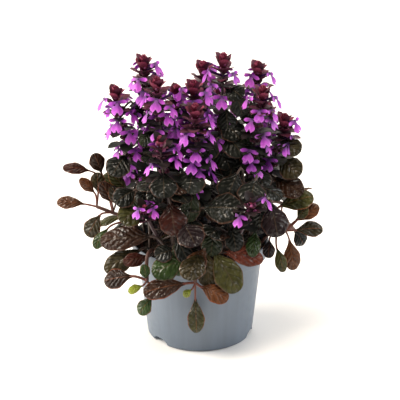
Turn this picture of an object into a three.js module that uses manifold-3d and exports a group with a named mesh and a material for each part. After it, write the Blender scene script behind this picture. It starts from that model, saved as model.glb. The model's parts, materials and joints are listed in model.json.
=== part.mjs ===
// Potted bugleweed: a dark-leaved Ajuga in bloom, in a grey-blue nursery pot.
// Millimetres, +Z up. The origin is the middle of the pot's flat base, and -Y is the side that
// the plant turns to a viewer. Every stem, crown and runner stands in a hole of its own in the soil.

import * as THREE from 'three';
import { mergeVertices } from 'three/addons/utils/BufferGeometryUtils.js';
import Module from 'manifold-3d';

const wasm = await Module();
wasm.setup();

// Driving dimensions

const potSides = 28;
const soilSides = 14;
const pot = {
  height: 90,
  footRadius: 47.4,
  footRound: 1.5,
  shoulderHeight: 76,
  shoulderRadius: 55.3,
  shoulderStep: 4.9,
  rimFlare: 0.6,
  wall: 1.4,
};
const drainNotch = { turns: [-139, -18, 103], height: 5, footWidth: 19.5, topWidth: 12, depth: 6.5 };
const soil = { surface: 80, crownRise: 1.6, gap: 0.4, holeDepth: 11, holeGap: 0.6 };

// Stems are four-sided, as on all of the mint family, and lean out from where they gather
const stem = { radius: 1.9, bud: 11, budRadius: 5.2, gather: 0.5, bow: 0.18 };
const crown = { radius: 5, height: 9, sides: 6, leafReach: 2.6, leafStep: 2 };

// Leaves
const leafThickness = 1.4;
const petiole = { halfWidth: 1.2, thickness: 2.2 };
const edgeWave = 0.9;
const edgeScallop = 0.05;
const leafLift = 5;

// Least room between neighbours
const clearance = 0.45;

// Florets
const floret = { reach: 11, rise: 4.5, tube: 1.5, lipThickness: 1.3, lean: 24, turnAside: 24 };
const whorl = { firstDrop: 24, spacing: 14, most: 3 };

// Pairs of bracts down a spike: drop below its tip, turn, rise, length and width
const bractPairs = [
  [12.5, 45, 58, 12.5, 9],
  [18, 135, 30, 13, 9.5],
  [29, 8, 6, 14, 10],
  [43, 98, -8, 15.5, 11.2],
];

const deg = Math.PI / 180;
const up = new THREE.Vector3(0, 0, 1);
const front = new THREE.Vector3(0, -1, 0);
const stolonLean = new THREE.Vector3(0.3, 0.2, 0.05);

// Repeatable chance between 0 and 1
function chance(seed) {
  const wave = Math.sin(seed * 127.1) * 43758.5453;
  return wave - Math.floor(wave);
}

function heading(turn) {
  return new THREE.Vector3(Math.cos(turn), Math.sin(turn), 0);
}

// Solids and geometries

function solidOf(geometry) {
  const bare = geometry.clone();
  bare.deleteAttribute('normal');
  bare.deleteAttribute('uv');
  const merged = mergeVertices(bare, 1e-4);
  const vertProperties = new Float32Array(merged.attributes.position.array);
  const triVerts = new Uint32Array(merged.index.array);
  return new wasm.Manifold(new wasm.Mesh({ numProp: 3, vertProperties, triVerts }));
}

function geometryOf(solid) {
  const mesh = solid.getMesh();
  const geometry = new THREE.BufferGeometry();
  geometry.setAttribute('position', new THREE.BufferAttribute(mesh.vertProperties, 3));
  geometry.setIndex(new THREE.BufferAttribute(mesh.triVerts, 1));
  geometry.computeVertexNormals();
  return geometry;
}

// A closed solid from points and triangles, turned the right way out
function closedSolid(points, triangles) {
  let volume = 0;
  for (const [a, b, c] of triangles) {
    volume += points[a].dot(points[b].clone().cross(points[c]));
  }
  const order = volume < 0 ? triangles.map(([a, b, c]) => [a, c, b]) : triangles;
  const vertProperties = new Float32Array(points.flatMap((point) => point.toArray()));
  const triVerts = new Uint32Array(order.flat());
  return new wasm.Manifold(new wasm.Mesh({ numProp: 3, vertProperties, triVerts }));
}

// A skin over a row of rings, each with the same number of points, closed to a point at both ends
function loft(start, rings, end) {
  const sides = rings[0].length;
  const points = [start, ...rings.flat(), end];
  const triangles = [];
  for (let side = 0; side < sides; side += 1) {
    const next = (side + 1) % sides;
    triangles.push([0, 1 + next, 1 + side]);
    for (let ring = 0; ring < rings.length - 1; ring += 1) {
      const here = 1 + ring * sides;
      const ahead = here + sides;
      const leftHalf = side < sides / 2;
      if (leftHalf) {
        triangles.push([here + side, here + next, ahead + side]);
        triangles.push([here + next, ahead + next, ahead + side]);
      } else {
        triangles.push([here + side, here + next, ahead + next]);
        triangles.push([here + side, ahead + next, ahead + side]);
      }
    }
    const last = 1 + (rings.length - 1) * sides;
    triangles.push([last + side, last + next, points.length - 1]);
  }
  return closedSolid(points, triangles);
}

function lathe(profile, sides) {
  const points = profile.map(([radius, height]) => new THREE.Vector2(radius, height));
  const geometry = new THREE.LatheGeometry(points, sides);
  geometry.rotateX(Math.PI / 2);
  const solid = solidOf(geometry);
  return solid.volume() < 0 ? solidOf(geometry.scale(1, 1, -1)) : solid;
}

// Pot and soil

// Blunt wedge pressed up and in at the foot of the wall, larger all round by grow
function notchWedge(turn, grow) {
  const foot = drainNotch.footWidth / 2 + grow;
  const top = drainNotch.topWidth / 2 + grow;
  const peak = drainNotch.height + grow;
  const section = new THREE.Shape();
  section.moveTo(-foot, -1);
  section.lineTo(foot, -1);
  section.lineTo(top, peak);
  section.lineTo(-top, peak);
  section.closePath();
  const length = drainNotch.depth + grow + pot.wall + 6;
  const wedge = new THREE.ExtrudeGeometry(section, { depth: length, bevelEnabled: false, steps: 1 });
  wedge.rotateX(Math.PI / 2);
  wedge.translate(0, pot.footRadius + pot.wall + 6, 0);
  wedge.rotateZ((turn - 90) * deg);
  return solidOf(wedge);
}

function potProfile(inset, floor, top) {
  const shelf = pot.shoulderHeight + inset * 0.9;
  const rim = pot.shoulderRadius + pot.shoulderStep - inset;
  return [
    [0, floor],
    [pot.footRadius - pot.footRound - inset, floor],
    [pot.footRadius - inset, floor + pot.footRound],
    [pot.shoulderRadius - inset, shelf - 0.6],
    [rim, shelf + 0.4],
    [rim + pot.rimFlare, top],
    [0, top],
  ];
}

function makePot() {
  const outside = lathe(potProfile(0, 0, pot.height), potSides);
  const inside = lathe(potProfile(pot.wall, pot.wall, pot.height + 2), potSides);
  let body = outside;
  let cavity = inside;
  for (const turn of drainNotch.turns) {
    body = body.subtract(notchWedge(turn, 0));
    cavity = cavity.subtract(notchWedge(turn, pot.wall));
  }
  return body.subtract(cavity);
}

function makeSoil(holes) {
  const inset = pot.wall + soil.gap;
  const edge = pot.shoulderRadius + pot.shoulderStep - inset;
  const profile = potProfile(inset, inset, soil.surface).slice(0, 5);
  profile.push([edge, soil.surface]);
  profile.push([0, soil.surface + soil.crownRise]);
  let body = lathe(profile, soilSides);
  for (const turn of drainNotch.turns) {
    body = body.subtract(notchWedge(turn, inset));
  }
  for (const hole of holes) {
    const drill = new THREE.CylinderGeometry(hole.radius, hole.radius, soil.holeDepth * 2, 4);
    drill.rotateX(Math.PI / 2);
    drill.rotateZ(hole.turn);
    drill.translate(hole.x, hole.y, soil.surface + 1);
    body = body.subtract(solidOf(drill));
  }
  return body;
}

// Leaf blades

// Half width of a blade at a place from 0 at its base to 1 at its tip
function bladeHalfWidth(width, place, fullness) {
  return (width / 2) * Math.pow(Math.sin(Math.PI * Math.pow(place, fullness)), 0.7);
}

// One leaf: a stalk from root to base, and a thin waved blade from base to tip. The midrib
// bows by bend, and the edges lie lower than it by droop.
function leafSolid(leaf, swell = 0) {
  const { root, base, tip, face, places } = leaf;
  const lengthwise = tip.clone().sub(base).normalize();
  const side = lengthwise.clone().cross(face).normalize();
  const facing = side.clone().cross(lengthwise);
  const middle = base.clone().add(tip).multiplyScalar(0.5).addScaledVector(facing, leaf.bend * 2);
  const midrib = new THREE.QuadraticBezierCurve3(base, middle, tip);
  const ringAt = (centre, half, thick, wave, turn = new THREE.Quaternion()) => [
    [-half, wave[0]],
    [0, -thick / 2],
    [half, wave[1]],
    [0, thick / 2],
  ].map(([across, over]) => {
    const offset = side.clone().multiplyScalar(across).addScaledVector(facing, over);
    return centre.clone().add(offset.applyQuaternion(turn));
  });
  const rings = [];
  if (leaf.stalked) {
    const half = petiole.halfWidth * leaf.stalk + swell;
    const thick = petiole.thickness * leaf.stalk + swell * 2;
    const stalkward = base.clone().sub(root).normalize();
    const turn = new THREE.Quaternion().setFromUnitVectors(lengthwise, stalkward);
    rings.push(ringAt(root, half, thick, [0, 0], turn));
    rings.push(ringAt(base, half, thick, [0, 0], turn.clone().slerp(new THREE.Quaternion(), 0.5)));
  }
  for (const [index, place] of places.entries()) {
    const scallop = 1 + edgeScallop * (index % 2 === 0 ? 1 : -1);
    const half = bladeHalfWidth(leaf.width, place, leaf.fullness) * scallop + swell;
    const wave = [0, 1.9].map((shift) => {
      return edgeWave * leaf.waviness * Math.cos(index * 2.4 + leaf.seed + shift) - half * leaf.droop;
    });
    rings.push(ringAt(midrib.getPoint(place), half, leafThickness + swell * 2, wave));
  }
  const start = leaf.stalked ? root.clone().lerp(base, -0.04) : root;
  return loft(start, rings, tip.clone().addScaledVector(lengthwise, swell));
}

// Direction that the upper face of a leaf looks to: up, and outward where the leaf hangs.
// A leaf chosen by hand turns to the light in front of the plant.
function leafFace(base, tip, chosen) {
  const outward = new THREE.Vector3(base.x + tip.x, base.y + tip.y, 0).normalize();
  const lean = base.z > tip.z ? 0.75 : 0.35;
  return up.clone().addScaledVector(chosen ? front : outward, chosen ? 1.1 : lean).normalize();
}

// Leaf on a stalk between two chosen points
function stalkedLeaf(root, spec, seed) {
  const base = new THREE.Vector3(...spec.base);
  const tip = new THREE.Vector3(...spec.tip);
  const small = spec.width < 17;
  return {
    root,
    base,
    tip,
    width: spec.width,
    bend: spec.bend ?? 3,
    face: leafFace(base, tip, !spec.byRule && base.y + tip.y < 20),
    fullness: 1.25,
    places: small ? [0.36, 0.78] : [0.28, 0.58, 0.86],
    droop: 0.12,
    waviness: small ? 0.5 : 1,
    stalked: true,
    stalk: small ? 0.75 : 1,
    seed,
  };
}

function liftedLeaf(leaf, lift) {
  const base = leaf.base.clone().addScaledVector(up, lift * 0.5);
  const tip = leaf.tip.clone().addScaledVector(up, lift);
  return { ...leaf, base, tip };
}

// Flower spikes

// Curve of a spike's stem from the soil to the foot of its top bud
function stemCurve(spike) {
  const [x, y, height] = spike.tip;
  const foot = new THREE.Vector3(x * stem.gather, y * stem.gather, soil.surface + 3);
  const top = new THREE.Vector3(x, y, height - stem.bud);
  const bow = foot.clone().lerp(top, 0.5);
  bow.x += (x - foot.x) * stem.bow;
  bow.y += (y - foot.y) * stem.bow;
  return new THREE.QuadraticBezierCurve3(foot, bow, top);
}

function ringAround(centre, radius, sides, turn) {
  const ring = [];
  for (let side = 0; side < sides; side += 1) {
    ring.push(centre.clone().addScaledVector(heading((side / sides) * 2 * Math.PI + turn), radius));
  }
  return ring;
}

// Square stem that ends in a closed bud of young bracts
function stemSolid(curve, turn) {
  const corner = turn * deg + Math.PI / 4;
  const rings = [0, 0.5, 1].map((place) => {
    return ringAround(curve.getPoint(place), stem.radius * (1 - 0.3 * place), 4, corner);
  });
  const budAt = (share) => curve.getPoint(1).addScaledVector(up, stem.bud * share);
  rings.push(ringAround(budAt(0.3), stem.budRadius, 4, corner));
  rings.push(ringAround(budAt(0.76), stem.budRadius * 0.9, 4, corner));
  const start = curve.getPoint(0).addScaledVector(up, -soil.holeDepth);
  return loft(start, rings, budAt(1));
}

// Right half of the three-lobed lip from the top of the side lobe to the corner of the middle
// lobe, across and up from the throat, and the notch at the lip's end
const lipHalf = [
  [6.8, 1.6],
  [7.8, -1.8],
  [2, -3],
  [4.7, -10.2],
];
const lipNotch = [0, -9.2];

// A floret: a three-sided tube out of the stem that opens in a flat lip facing out and up
function floretSolid(spot, swell = 0) {
  const out = heading(spot.turn);
  const lean = floret.lean * deg;
  const facing = out.clone().multiplyScalar(Math.cos(lean)).addScaledVector(up, Math.sin(lean));
  const across = up.clone().cross(out).normalize();
  const upward = facing.clone().cross(across);
  const throat = spot.root.clone()
    .addScaledVector(out, floret.reach * spot.size)
    .addScaledVector(up, floret.rise * spot.size);
  const grow = spot.size * (1 + swell / 7);
  const place = ([x, y], depth) => throat.clone()
    .addScaledVector(across, x * grow)
    .addScaledVector(upward, y * grow)
    .addScaledVector(facing, depth);
  const mirrored = lipHalf.map(([x, y]) => [-x, y]).reverse();
  const outline = [...lipHalf, lipNotch, ...mirrored];
  const tubeRadius = (floret.tube + swell) / spot.size;
  const tube = [-30, -150, 90].map((angle) => {
    const corner = [Math.cos(angle * deg) * tubeRadius, Math.sin(angle * deg) * tubeRadius];
    return place(corner, -floret.lipThickness - swell);
  });
  const points = [...outline.map((corner) => place(corner, swell)), ...tube, spot.root];
  const [right, left, crest] = [0, 1, 2].map((corner) => outline.length + corner);
  const behind = [right, right, right, right, left, left, left, left, left];
  const triangles = [[0, 1, 2], [8, 0, 2], [8, 2, 6], [8, 6, 7], [2, 3, 4], [2, 4, 6], [4, 5, 6]];
  for (let index = 0; index < outline.length - 1; index += 1) {
    triangles.push([index + 1, index, behind[index]]);
  }
  triangles.push([4, right, left], [0, outline.length - 1, crest]);
  triangles.push([0, crest, right], [outline.length - 1, left, crest]);
  for (const [a, b] of [[right, left], [left, crest], [crest, right]]) {
    triangles.push([b, a, points.length - 1]);
  }
  return closedSolid(points, triangles);
}

// Bract, or leaf, that stands out of a spike's stem
function stemLeaf(root, turn, shape) {
  const out = heading(turn);
  const tilt = shape.rise * deg;
  const aim = out.clone().multiplyScalar(Math.cos(tilt)).addScaledVector(up, Math.sin(tilt));
  const face = up.clone().multiplyScalar(Math.cos(tilt)).addScaledVector(out, -Math.sin(tilt));
  const large = shape.length > 18;
  return {
    root,
    base: root.clone().addScaledVector(aim, large ? stem.radius + 2 : 0),
    tip: root.clone().addScaledVector(aim, stem.radius + shape.length),
    width: shape.width,
    bend: shape.length * 0.08,
    face,
    fullness: large ? 1.15 : 1,
    places: large ? [0.4, 0.78] : [0.5],
    droop: large ? 0.1 : -0.1,
    waviness: large ? 0.8 : 0,
    stalked: false,
    stalk: 1,
    seed: turn,
  };
}

// Flowering tiers by rule: three florets and two in turn, each tier a quarter turn on
function tiersByRule(spike) {
  return Array.from({ length: spike.whorls }, (_, tier) => {
    const count = whorl.most - (tier % 2);
    const turns = Array.from({ length: count }, (__, index) => {
      return spike.turn + tier * 90 + (index * 360) / count + (count === 2 ? 20 : 0);
    });
    return [whorl.firstDrop + tier * whorl.spacing, ...turns];
  });
}

// What a spike's stem carries, in the order in which it claims room
function spikeParts(spike) {
  const curve = stemCurve(spike);
  const length = curve.getLength();
  const at = (drop) => curve.getPointAt(Math.max(0, 1 - (drop - stem.bud) / length));
  const tiers = spike.tiers ?? tiersByRule(spike);
  const parts = [];
  for (const [tier, [drop, ...turns]] of tiers.entries()) {
    for (const [index, turn] of turns.entries()) {
      const size = (0.97 + 0.14 * chance(spike.seed * 31 + tier * 7 + index)) * (spike.small ?? 1);
      parts.push({ floret: { root: at(drop), turn: turn * deg, size } });
    }
  }
  const lowest = tiers[tiers.length - 1][0];
  for (const [drop, aside, rise, bractLength, width] of bractPairs) {
    if (drop > lowest + 5) {
      continue;
    }
    for (let index = 0; index < 2; index += 1) {
      const turn = (spike.turn + aside + index * 180) * deg;
      parts.push({ leaf: stemLeaf(at(drop), turn, { length: bractLength, width, rise }) });
    }
  }
  for (let index = 0; index < spike.leaves; index += 1) {
    const turn = (spike.turn + 45 + index * 137) * deg;
    const shape = { length: 25 + index * 2, width: 21, rise: -14 };
    parts.push({ leaf: stemLeaf(at(lowest + 14 + index * 11), turn, shape) });
  }
  return parts;
}

// Stem leaves placed by hand: height of the root on the stem, tip and width
function placedStemLeaves(spike) {
  const curve = stemCurve(spike);
  const foot = curve.getPoint(0);
  const top = curve.getPoint(1);
  return (spike.placed ?? []).map((spec, index) => {
    const root = curve.getPoint((spec.height - foot.z) / (top.z - foot.z));
    const base = root.clone().lerp(new THREE.Vector3(...spec.tip), 0.16).toArray();
    return { leaf: stalkedLeaf(root, { ...spec, base }, spike.seed + index) };
  });
}

// Spikes: tip, turn about the stem, leaves below the flowers, and flowering tiers, each the drop
// below the tip and the turns of its florets. Those at the back have a number of tiers by rule.
const spikes = [
  {
    tip: [-48, 5, 256],
    turn: 280,
    leaves: 3,
    tiers: [
      [19, 350, 110],
      [29, 240, 50],
      [40, 250, 330, 100],
      [51, 200, 20],
      [62, 195, 300, 90],
      [74, 200, 320],
    ],
  },
  {
    tip: [-36, -19, 244],
    turn: 255,
    leaves: 3,
    tiers: [[27, 262, 20, 190], [40, 200, 300, 80], [54, 250, 340, 130]],
  },
  {
    tip: [20, 8, 257],
    turn: 290,
    leaves: 3,
    tiers: [[26, 190, 325, 80], [46, 270, 30, 150], [70, 340, 200, 90], [84, 262]],
    placed: [
      { height: 228, tip: [36, -5, 221], width: 19 },
      { height: 178, tip: [26, -12, 158], width: 24 },
      { height: 198, tip: [34, -10, 185], width: 22 },
      { height: 188, tip: [37, -18, 173], width: 22 },
    ],
  },
  {
    tip: [50, 14, 248],
    turn: 265,
    leaves: 2,
    tiers: [[20, 242, 340, 90], [36, 230, 350, 120], [50, 200, 300], [64, 30]],
  },
  {
    tip: [53, -14, 235],
    turn: 300,
    leaves: 2,
    tiers: [[20, 195, 345], [38, 240, 330, 80], [52, 300, 150], [66, 230], [82, 302, 100]],
  },
  {
    tip: [73, 2, 205],
    turn: 270,
    leaves: 1,
    tiers: [[15, 320], [22, 205, 60], [36, 320, 120], [50, 250, 40]],
    placed: [
      { height: 182, tip: [85, -9, 171], width: 18 },
      { height: 164, tip: [86, -14, 153], width: 22 },
      { height: 148, tip: [88, -20, 138], width: 22 },
    ],
  },
  {
    tip: [-72, 1, 230],
    turn: 260,
    leaves: 2,
    tiers: [[22, 270, 190, 60], [38, 255, 30], [49, 195, 290, 90], [66, 215, 300], [88, 235, 292]],
    placed: [{ height: 170, tip: [-75, -24, 157], width: 22 }],
  },
  {
    tip: [-5, -5, 237],
    turn: 285,
    leaves: 2,
    tiers: [[20, 345, 150], [26, 265], [38, 340, 200, 60], [52, 230, 350], [66, 100]],
  },
  {
    tip: [3, 32, 243],
    turn: 275,
    leaves: 2,
    tiers: [[16, 300, 60], [32, 200, 340, 90], [48, 290, 60, 180], [62, 20]],
  },
  {
    tip: [-20, 20, 225],
    turn: 250,
    leaves: 2,
    tiers: [[16, 268, 140], [27, 225, 330, 80], [39, 200, 300], [51, 250, 110]],
  },
  {
    tip: [-4, -35, 226],
    turn: 290,
    leaves: 1,
    tiers: [
      [22, 345, 100],
      [35, 230, 342, 150],
      [49, 270, 60],
      [60, 232, 340, 140],
      [73, 352],
      [86, 262, 170],
    ],
    placed: [{ height: 172, tip: [-10, -50, 151], width: 25 }],
  },
  {
    tip: [-33, -44, 203],
    turn: 270,
    leaves: 1,
    tiers: [[24, 345, 90], [38, 200, 60]],
    placed: [{ height: 171, tip: [-30, -58, 150], width: 24 }],
  },
  { tip: [72, 36, 184], turn: 20, leaves: 1, whorls: 2 },
  { tip: [43, -62, 156], turn: 255, leaves: 0, tiers: [[14, 345, 100], [30, 240]] },
  { tip: [-46, -56, 147], turn: 280, leaves: 0, small: 0.8, tiers: [[13, 232, 312, 80]] },
  { tip: [-64, 30, 180], turn: 150, leaves: 0, whorls: 2 },
  { tip: [-44, 46, 214], turn: 45, leaves: 2, whorls: 3 },
  { tip: [16, 62, 217], turn: 90, leaves: 2, whorls: 3 },
  { tip: [60, 42, 201], turn: 30, leaves: 2, whorls: 3 },
].map((spike, index) => ({ ...spike, seed: index + 1 }));

// Rosettes: crown in the soil, leaves placed by hand, and a fan of leaves by rule
const rosettes = [
  {
    crown: [-21, -41],
    leaves: [
      { base: [-41, -46, 110], tip: [-86, -38, 102], width: 22, bend: 4 },
      { base: [-21, -50, 112], tip: [-9, -64, 92], width: 15 },
      { base: [-22, -54, 101], tip: [-38, -62, 98], width: 17 },
      { base: [-14, -58, 94], tip: [-40, -68, 84], width: 22, bend: 4 },
      { base: [-25, -48, 142], tip: [-21, -62, 118], width: 24 },
      { base: [-10, -44, 128], tip: [0, -56, 106], width: 20 },
    ],
    fan: { outward: -118, count: 3 },
  },
  {
    crown: [10, -43],
    leaves: [
      { base: [12, -57, 100], tip: [32, -70, 69], width: 25, bend: 4 },
      { base: [4, -58, 101], tip: [-8, -70, 82], width: 18 },
      { base: [20, -55, 99], tip: [54, -54, 92], width: 18, bend: 4 },
      { base: [2, -46, 136], tip: [34, -60, 141], width: 28 },
      { base: [16, -46, 114], tip: [8, -62, 112], width: 22 },
    ],
    fan: { outward: -78, count: 2 },
  },
  {
    crown: [37, -28],
    leaves: [
      { base: [47, -44, 114], tip: [44, -60, 97], width: 13 },
      { base: [60, -40, 138], tip: [66, -52, 112], width: 24 },
      { base: [47, -36, 158], tip: [41, -54, 142], width: 25 },
      { base: [32, -32, 163], tip: [22, -44, 142], width: 24 },
      { base: [32, -42, 122], tip: [28, -54, 102], width: 20 },
    ],
    fan: { outward: -22, count: 3 },
  },
  { crown: [46, 12], leaves: [], fan: { outward: 14, count: 7 } },
  { crown: [30, 36], leaves: [], fan: { outward: 50, count: 7 } },
  { crown: [-4, 47], leaves: [], fan: { outward: 95, count: 7 } },
  { crown: [-35, 33], leaves: [], fan: { outward: 137, count: 7 } },
  { crown: [-48, 8], leaves: [], fan: { outward: 168, count: 7 } },
  {
    crown: [-42, -20],
    leaves: [
      { base: [-52, -34, 132], tip: [-66, -50, 124], width: 22 },
      { base: [-51, -41, 95.5], tip: [-82, -51, 80], width: 19 },
      { base: [-56, -30, 146], tip: [-72, -40, 138], width: 20 },
    ],
    fan: { outward: -155, count: 3 },
  },
];

// Fan of leaves round a crown in three layers: over the rim, half way up, and high
const fanLayers = [
  { baseReach: 19, tipReach: 46, baseHeight: 101, tipHeight: 87, width: 22 },
  { baseReach: 12, tipReach: 37, baseHeight: 150, tipHeight: 143, width: 24 },
  { baseReach: 17, tipReach: 43, baseHeight: 126, tipHeight: 115, width: 24 },
];
const fanSwing = 150;

function fanLeaves([x, y], fan, seed) {
  const leaves = [];
  for (let index = 0; index < fan.count; index += 1) {
    const layer = fanLayers[index % fanLayers.length];
    const swing = ((index + 0.5) / fan.count - 0.5) * fanSwing;
    const sway = 14 * (chance(seed * 17 + index) - 0.5);
    const out = heading((fan.outward + swing + sway) * deg);
    const reach = layer.tipReach * (0.9 + 0.2 * chance(seed * 29 + index));
    leaves.push({
      base: [x + out.x * layer.baseReach, y + out.y * layer.baseReach, layer.baseHeight],
      tip: [x + out.x * reach, y + out.y * reach, layer.tipHeight],
      width: layer.width,
      byRule: true,
    });
  }
  return leaves;
}

function crownSolid([x, y]) {
  const start = new THREE.Vector3(x, y, soil.surface + 3 - soil.holeDepth);
  const belt = new THREE.Vector3(x, y, soil.surface + 5);
  const end = new THREE.Vector3(x, y, belt.z + crown.height);
  return loft(start, [ringAround(belt, crown.radius, crown.sides, 0)], end);
}

// Where a leaf's stalk leaves its crown: on the side that the leaf goes to, each a little higher
// or lower than the one beside it
function crownSpot([x, y], base, index) {
  const out = new THREE.Vector3(base[0] - x, base[1] - y, 0).normalize();
  const spot = new THREE.Vector3(x, y, soil.surface + 4 + (index % 3) * crown.leafStep);
  return spot.addScaledVector(out, crown.leafReach);
}

// Runners: a stolon from the soil over the rim, and the leaves that spring from its joints
const runners = [
  {
    route: [[-50, -14, 83], [-60, -16, 112], [-76, -15, 119], [-90, -13, 124]],
    leaves: [
      { joint: 3, base: [-101, -12, 126], tip: [-125, -10, 127], width: 12 },
      { joint: 3, base: [-92, -10, 136], tip: [-104, -13, 150], width: 10 },
      { joint: 3, base: [-89, -6, 135], tip: [-89, -5, 153], width: 13 },
      { joint: 2, base: [-96, -4, 154], tip: [-119, -6, 158], width: 11 },
      { joint: 2, base: [-86, -2, 152], tip: [-92, -4, 170], width: 14 },
      { joint: 2, base: [-87, -18, 118], tip: [-98, -21, 99], width: 16 },
      { joint: 1, base: [-80, -24, 108], tip: [-92, -26, 90], width: 11 },
      { joint: 2, base: [-74, 0, 134], tip: [-82, 8, 148], width: 15 },
    ],
  },
  {
    route: [[-34, -36, 83], [-40, -45, 97], [-45, -56, 95], [-45, -64, 77]],
    leaves: [
      { joint: 3, base: [-58, -64, 81], tip: [-82, -59, 74], width: 18 },
      { joint: 3, base: [-46, -66, 80], tip: [-47, -68, 94], width: 9 },
      { joint: 3, base: [-49, -66, 73], tip: [-61, -68, 68], width: 8 },
      { joint: 3, base: [-41, -66, 62], tip: [-52, -68, 47], width: 13 },
    ],
  },
  {
    route: [[-8, -44, 83], [-6, -58, 96], [-5, -66, 90], [-4, -68, 77]],
    leaves: [
      { joint: 3, base: [-13, -70, 77], tip: [-48, -74, 70], width: 19, bend: 4 },
      { joint: 3, base: [-4, -69, 62], tip: [-3, -66, 28], width: 15 },
      { joint: 3, base: [1, -70, 74], tip: [24, -74, 64], width: 17 },
      { joint: 3, base: [-7, -71, 72], tip: [-14, -72, 66], width: 7 },
    ],
  },
  {
    route: [[50, -10, 83], [59, -14, 97], [67, -18, 102], [75, -15, 102]],
    leaves: [
      { joint: 3, base: [84, -14, 102], tip: [108, -11, 102], width: 15 },
      { joint: 3, base: [84, -11, 110], tip: [104, -8, 123], width: 14 },
      { joint: 2, base: [70, -12, 124], tip: [99, -8, 132], width: 19 },
      { joint: 3, base: [78, -22, 96], tip: [82, -28, 70], width: 15 },
      { joint: 2, base: [67, -26, 90], tip: [73, -32, 70], width: 11 },
      { joint: 2, base: [60, -31, 100], tip: [59, -40, 87], width: 11 },
      { joint: 3, base: [84, -4, 97], tip: [92, -3, 83], width: 14 },
    ],
  },
  {
    route: [[40, 32, 83], [50, 39, 100], [66, 48, 104], [76, 54, 100]],
    leaves: [
      { joint: 3, base: [82, 62, 100], tip: [92, 78, 98], width: 14 },
      { joint: 3, base: [84, 50, 108], tip: [102, 46, 118], width: 13 },
      { joint: 2, base: [66, 56, 112], tip: [72, 74, 126], width: 15 },
      { joint: 3, base: [76, 62, 88], tip: [76, 72, 70], width: 12 },
    ],
  },
  {
    route: [[-28, 42, 83], [-36, 52, 101], [-48, 68, 104], [-56, 78, 98]],
    leaves: [
      { joint: 3, base: [-66, 80, 98], tip: [-86, 84, 96], width: 14 },
      { joint: 3, base: [-56, 86, 104], tip: [-54, 98, 116], width: 13 },
      { joint: 2, base: [-56, 64, 114], tip: [-74, 64, 126], width: 15 },
      { joint: 3, base: [-52, 84, 86], tip: [-46, 88, 68], width: 12 },
    ],
  },
];

// Four-sided stolon along its joints, with its foot in the soil
function stolonSolid(joints) {
  const rings = joints.map((joint, index) => {
    const ahead = joints[Math.min(index + 1, joints.length - 1)];
    const behind = joints[Math.max(index - 1, 0)];
    const aim = ahead.clone().sub(behind).normalize();
    const side = aim.clone().cross(stolonLean).normalize();
    const over = side.clone().cross(aim);
    const thick = stem.radius * (1 - 0.1 * index);
    return [side, over, side.clone().negate(), over.clone().negate()].map((corner) => {
      return joint.clone().addScaledVector(corner, thick);
    });
  });
  const last = joints[joints.length - 1];
  const end = last.clone().sub(joints[joints.length - 2]).setLength(2).add(last);
  const start = joints[0].clone().addScaledVector(up, -soil.holeDepth);
  return loft(start, rings, end);
}

// Growing the plant: each part claims its room, bends aside if it is taken, or isn't grown

const grown = [];

function boxesMeet(a, b) {
  return [0, 1, 2].every((axis) => a.min[axis] < b.max[axis] && b.min[axis] < a.max[axis]);
}

function isFree(swollen, owner) {
  const room = swollen.boundingBox();
  return grown.every((part) => {
    const apart = part.owner === owner || !boxesMeet(room, part.box);
    return apart || swollen.intersect(part.solid).isEmpty();
  });
}

function claim(solid, owner) {
  grown.push({ solid, owner, box: solid.boundingBox() });
}

// A part as meant, and then turned or lifted a little to either side
function ways(part) {
  if (part.floret) {
    return [0, 1, -1].map((way) => (swell) => {
      const turn = part.floret.turn + way * floret.turnAside * deg;
      return floretSolid({ ...part.floret, turn }, swell);
    });
  }
  return [0, 1, -1].map((way) => (swell) => leafSolid(liftedLeaf(part.leaf, way * leafLift), swell));
}

function grow(part, owner) {
  const build = ways(part).find((make) => isFree(make(clearance), owner));
  if (build) {
    claim(build(0), owner);
  }
}

function numbered(word, index) {
  return `${word}_${String(index + 1).padStart(2, '0')}`;
}

const potSolid = makePot();
claim(potSolid, 'pot');

const holes = [];
const nodes = [];

for (const [index, spike] of spikes.entries()) {
  const name = numbered('flower_spike', index);
  const curve = stemCurve(spike);
  const foot = curve.getPoint(0);
  claim(stemSolid(curve, spike.turn), name);
  holes.push({ x: foot.x, y: foot.y, turn: spike.turn * deg, radius: stem.radius + soil.holeGap });
  nodes.push({ name, finish: 'spike', placed: placedStemLeaves(spike), parts: spikeParts(spike) });
}

for (const [index, runner] of runners.entries()) {
  const name = numbered('runner', index);
  const joints = runner.route.map((point) => new THREE.Vector3(...point));
  claim(stolonSolid(joints), name);
  holes.push({ x: joints[0].x, y: joints[0].y, turn: 0, radius: stem.radius + soil.holeGap });
  const parts = runner.leaves.map((spec, leafIndex) => {
    return { leaf: stalkedLeaf(joints[spec.joint], spec, index * 20 + leafIndex) };
  });
  nodes.push({ name, finish: 'runner', placed: parts, parts: [] });
}

for (const [index, rosette] of rosettes.entries()) {
  const name = numbered('leaf_rosette', index);
  const [x, y] = rosette.crown;
  claim(crownSolid(rosette.crown), name);
  holes.push({ x, y, turn: 0, radius: crown.radius });
  const asPart = (seed) => (spec, leafIndex) => {
    return { leaf: stalkedLeaf(crownSpot(rosette.crown, spec.base, leafIndex), spec, seed + leafIndex) };
  };
  const placed = rosette.leaves.map(asPart(index * 20));
  const fan = fanLeaves(rosette.crown, rosette.fan, index + 1).map(asPart(index * 20 + 10));
  nodes.push({ name, finish: 'rosette', placed, parts: fan });
}

const soilSolid = makeSoil(holes);
claim(soilSolid, 'potting_soil');

// Leaves placed by hand claim their room first, then the flowers, then what follows a rule
for (const node of nodes) {
  for (const part of node.placed) {
    grow(part, node.name);
  }
}
for (const node of nodes) {
  for (const part of node.parts) {
    grow(part, node.name);
  }
}

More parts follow.
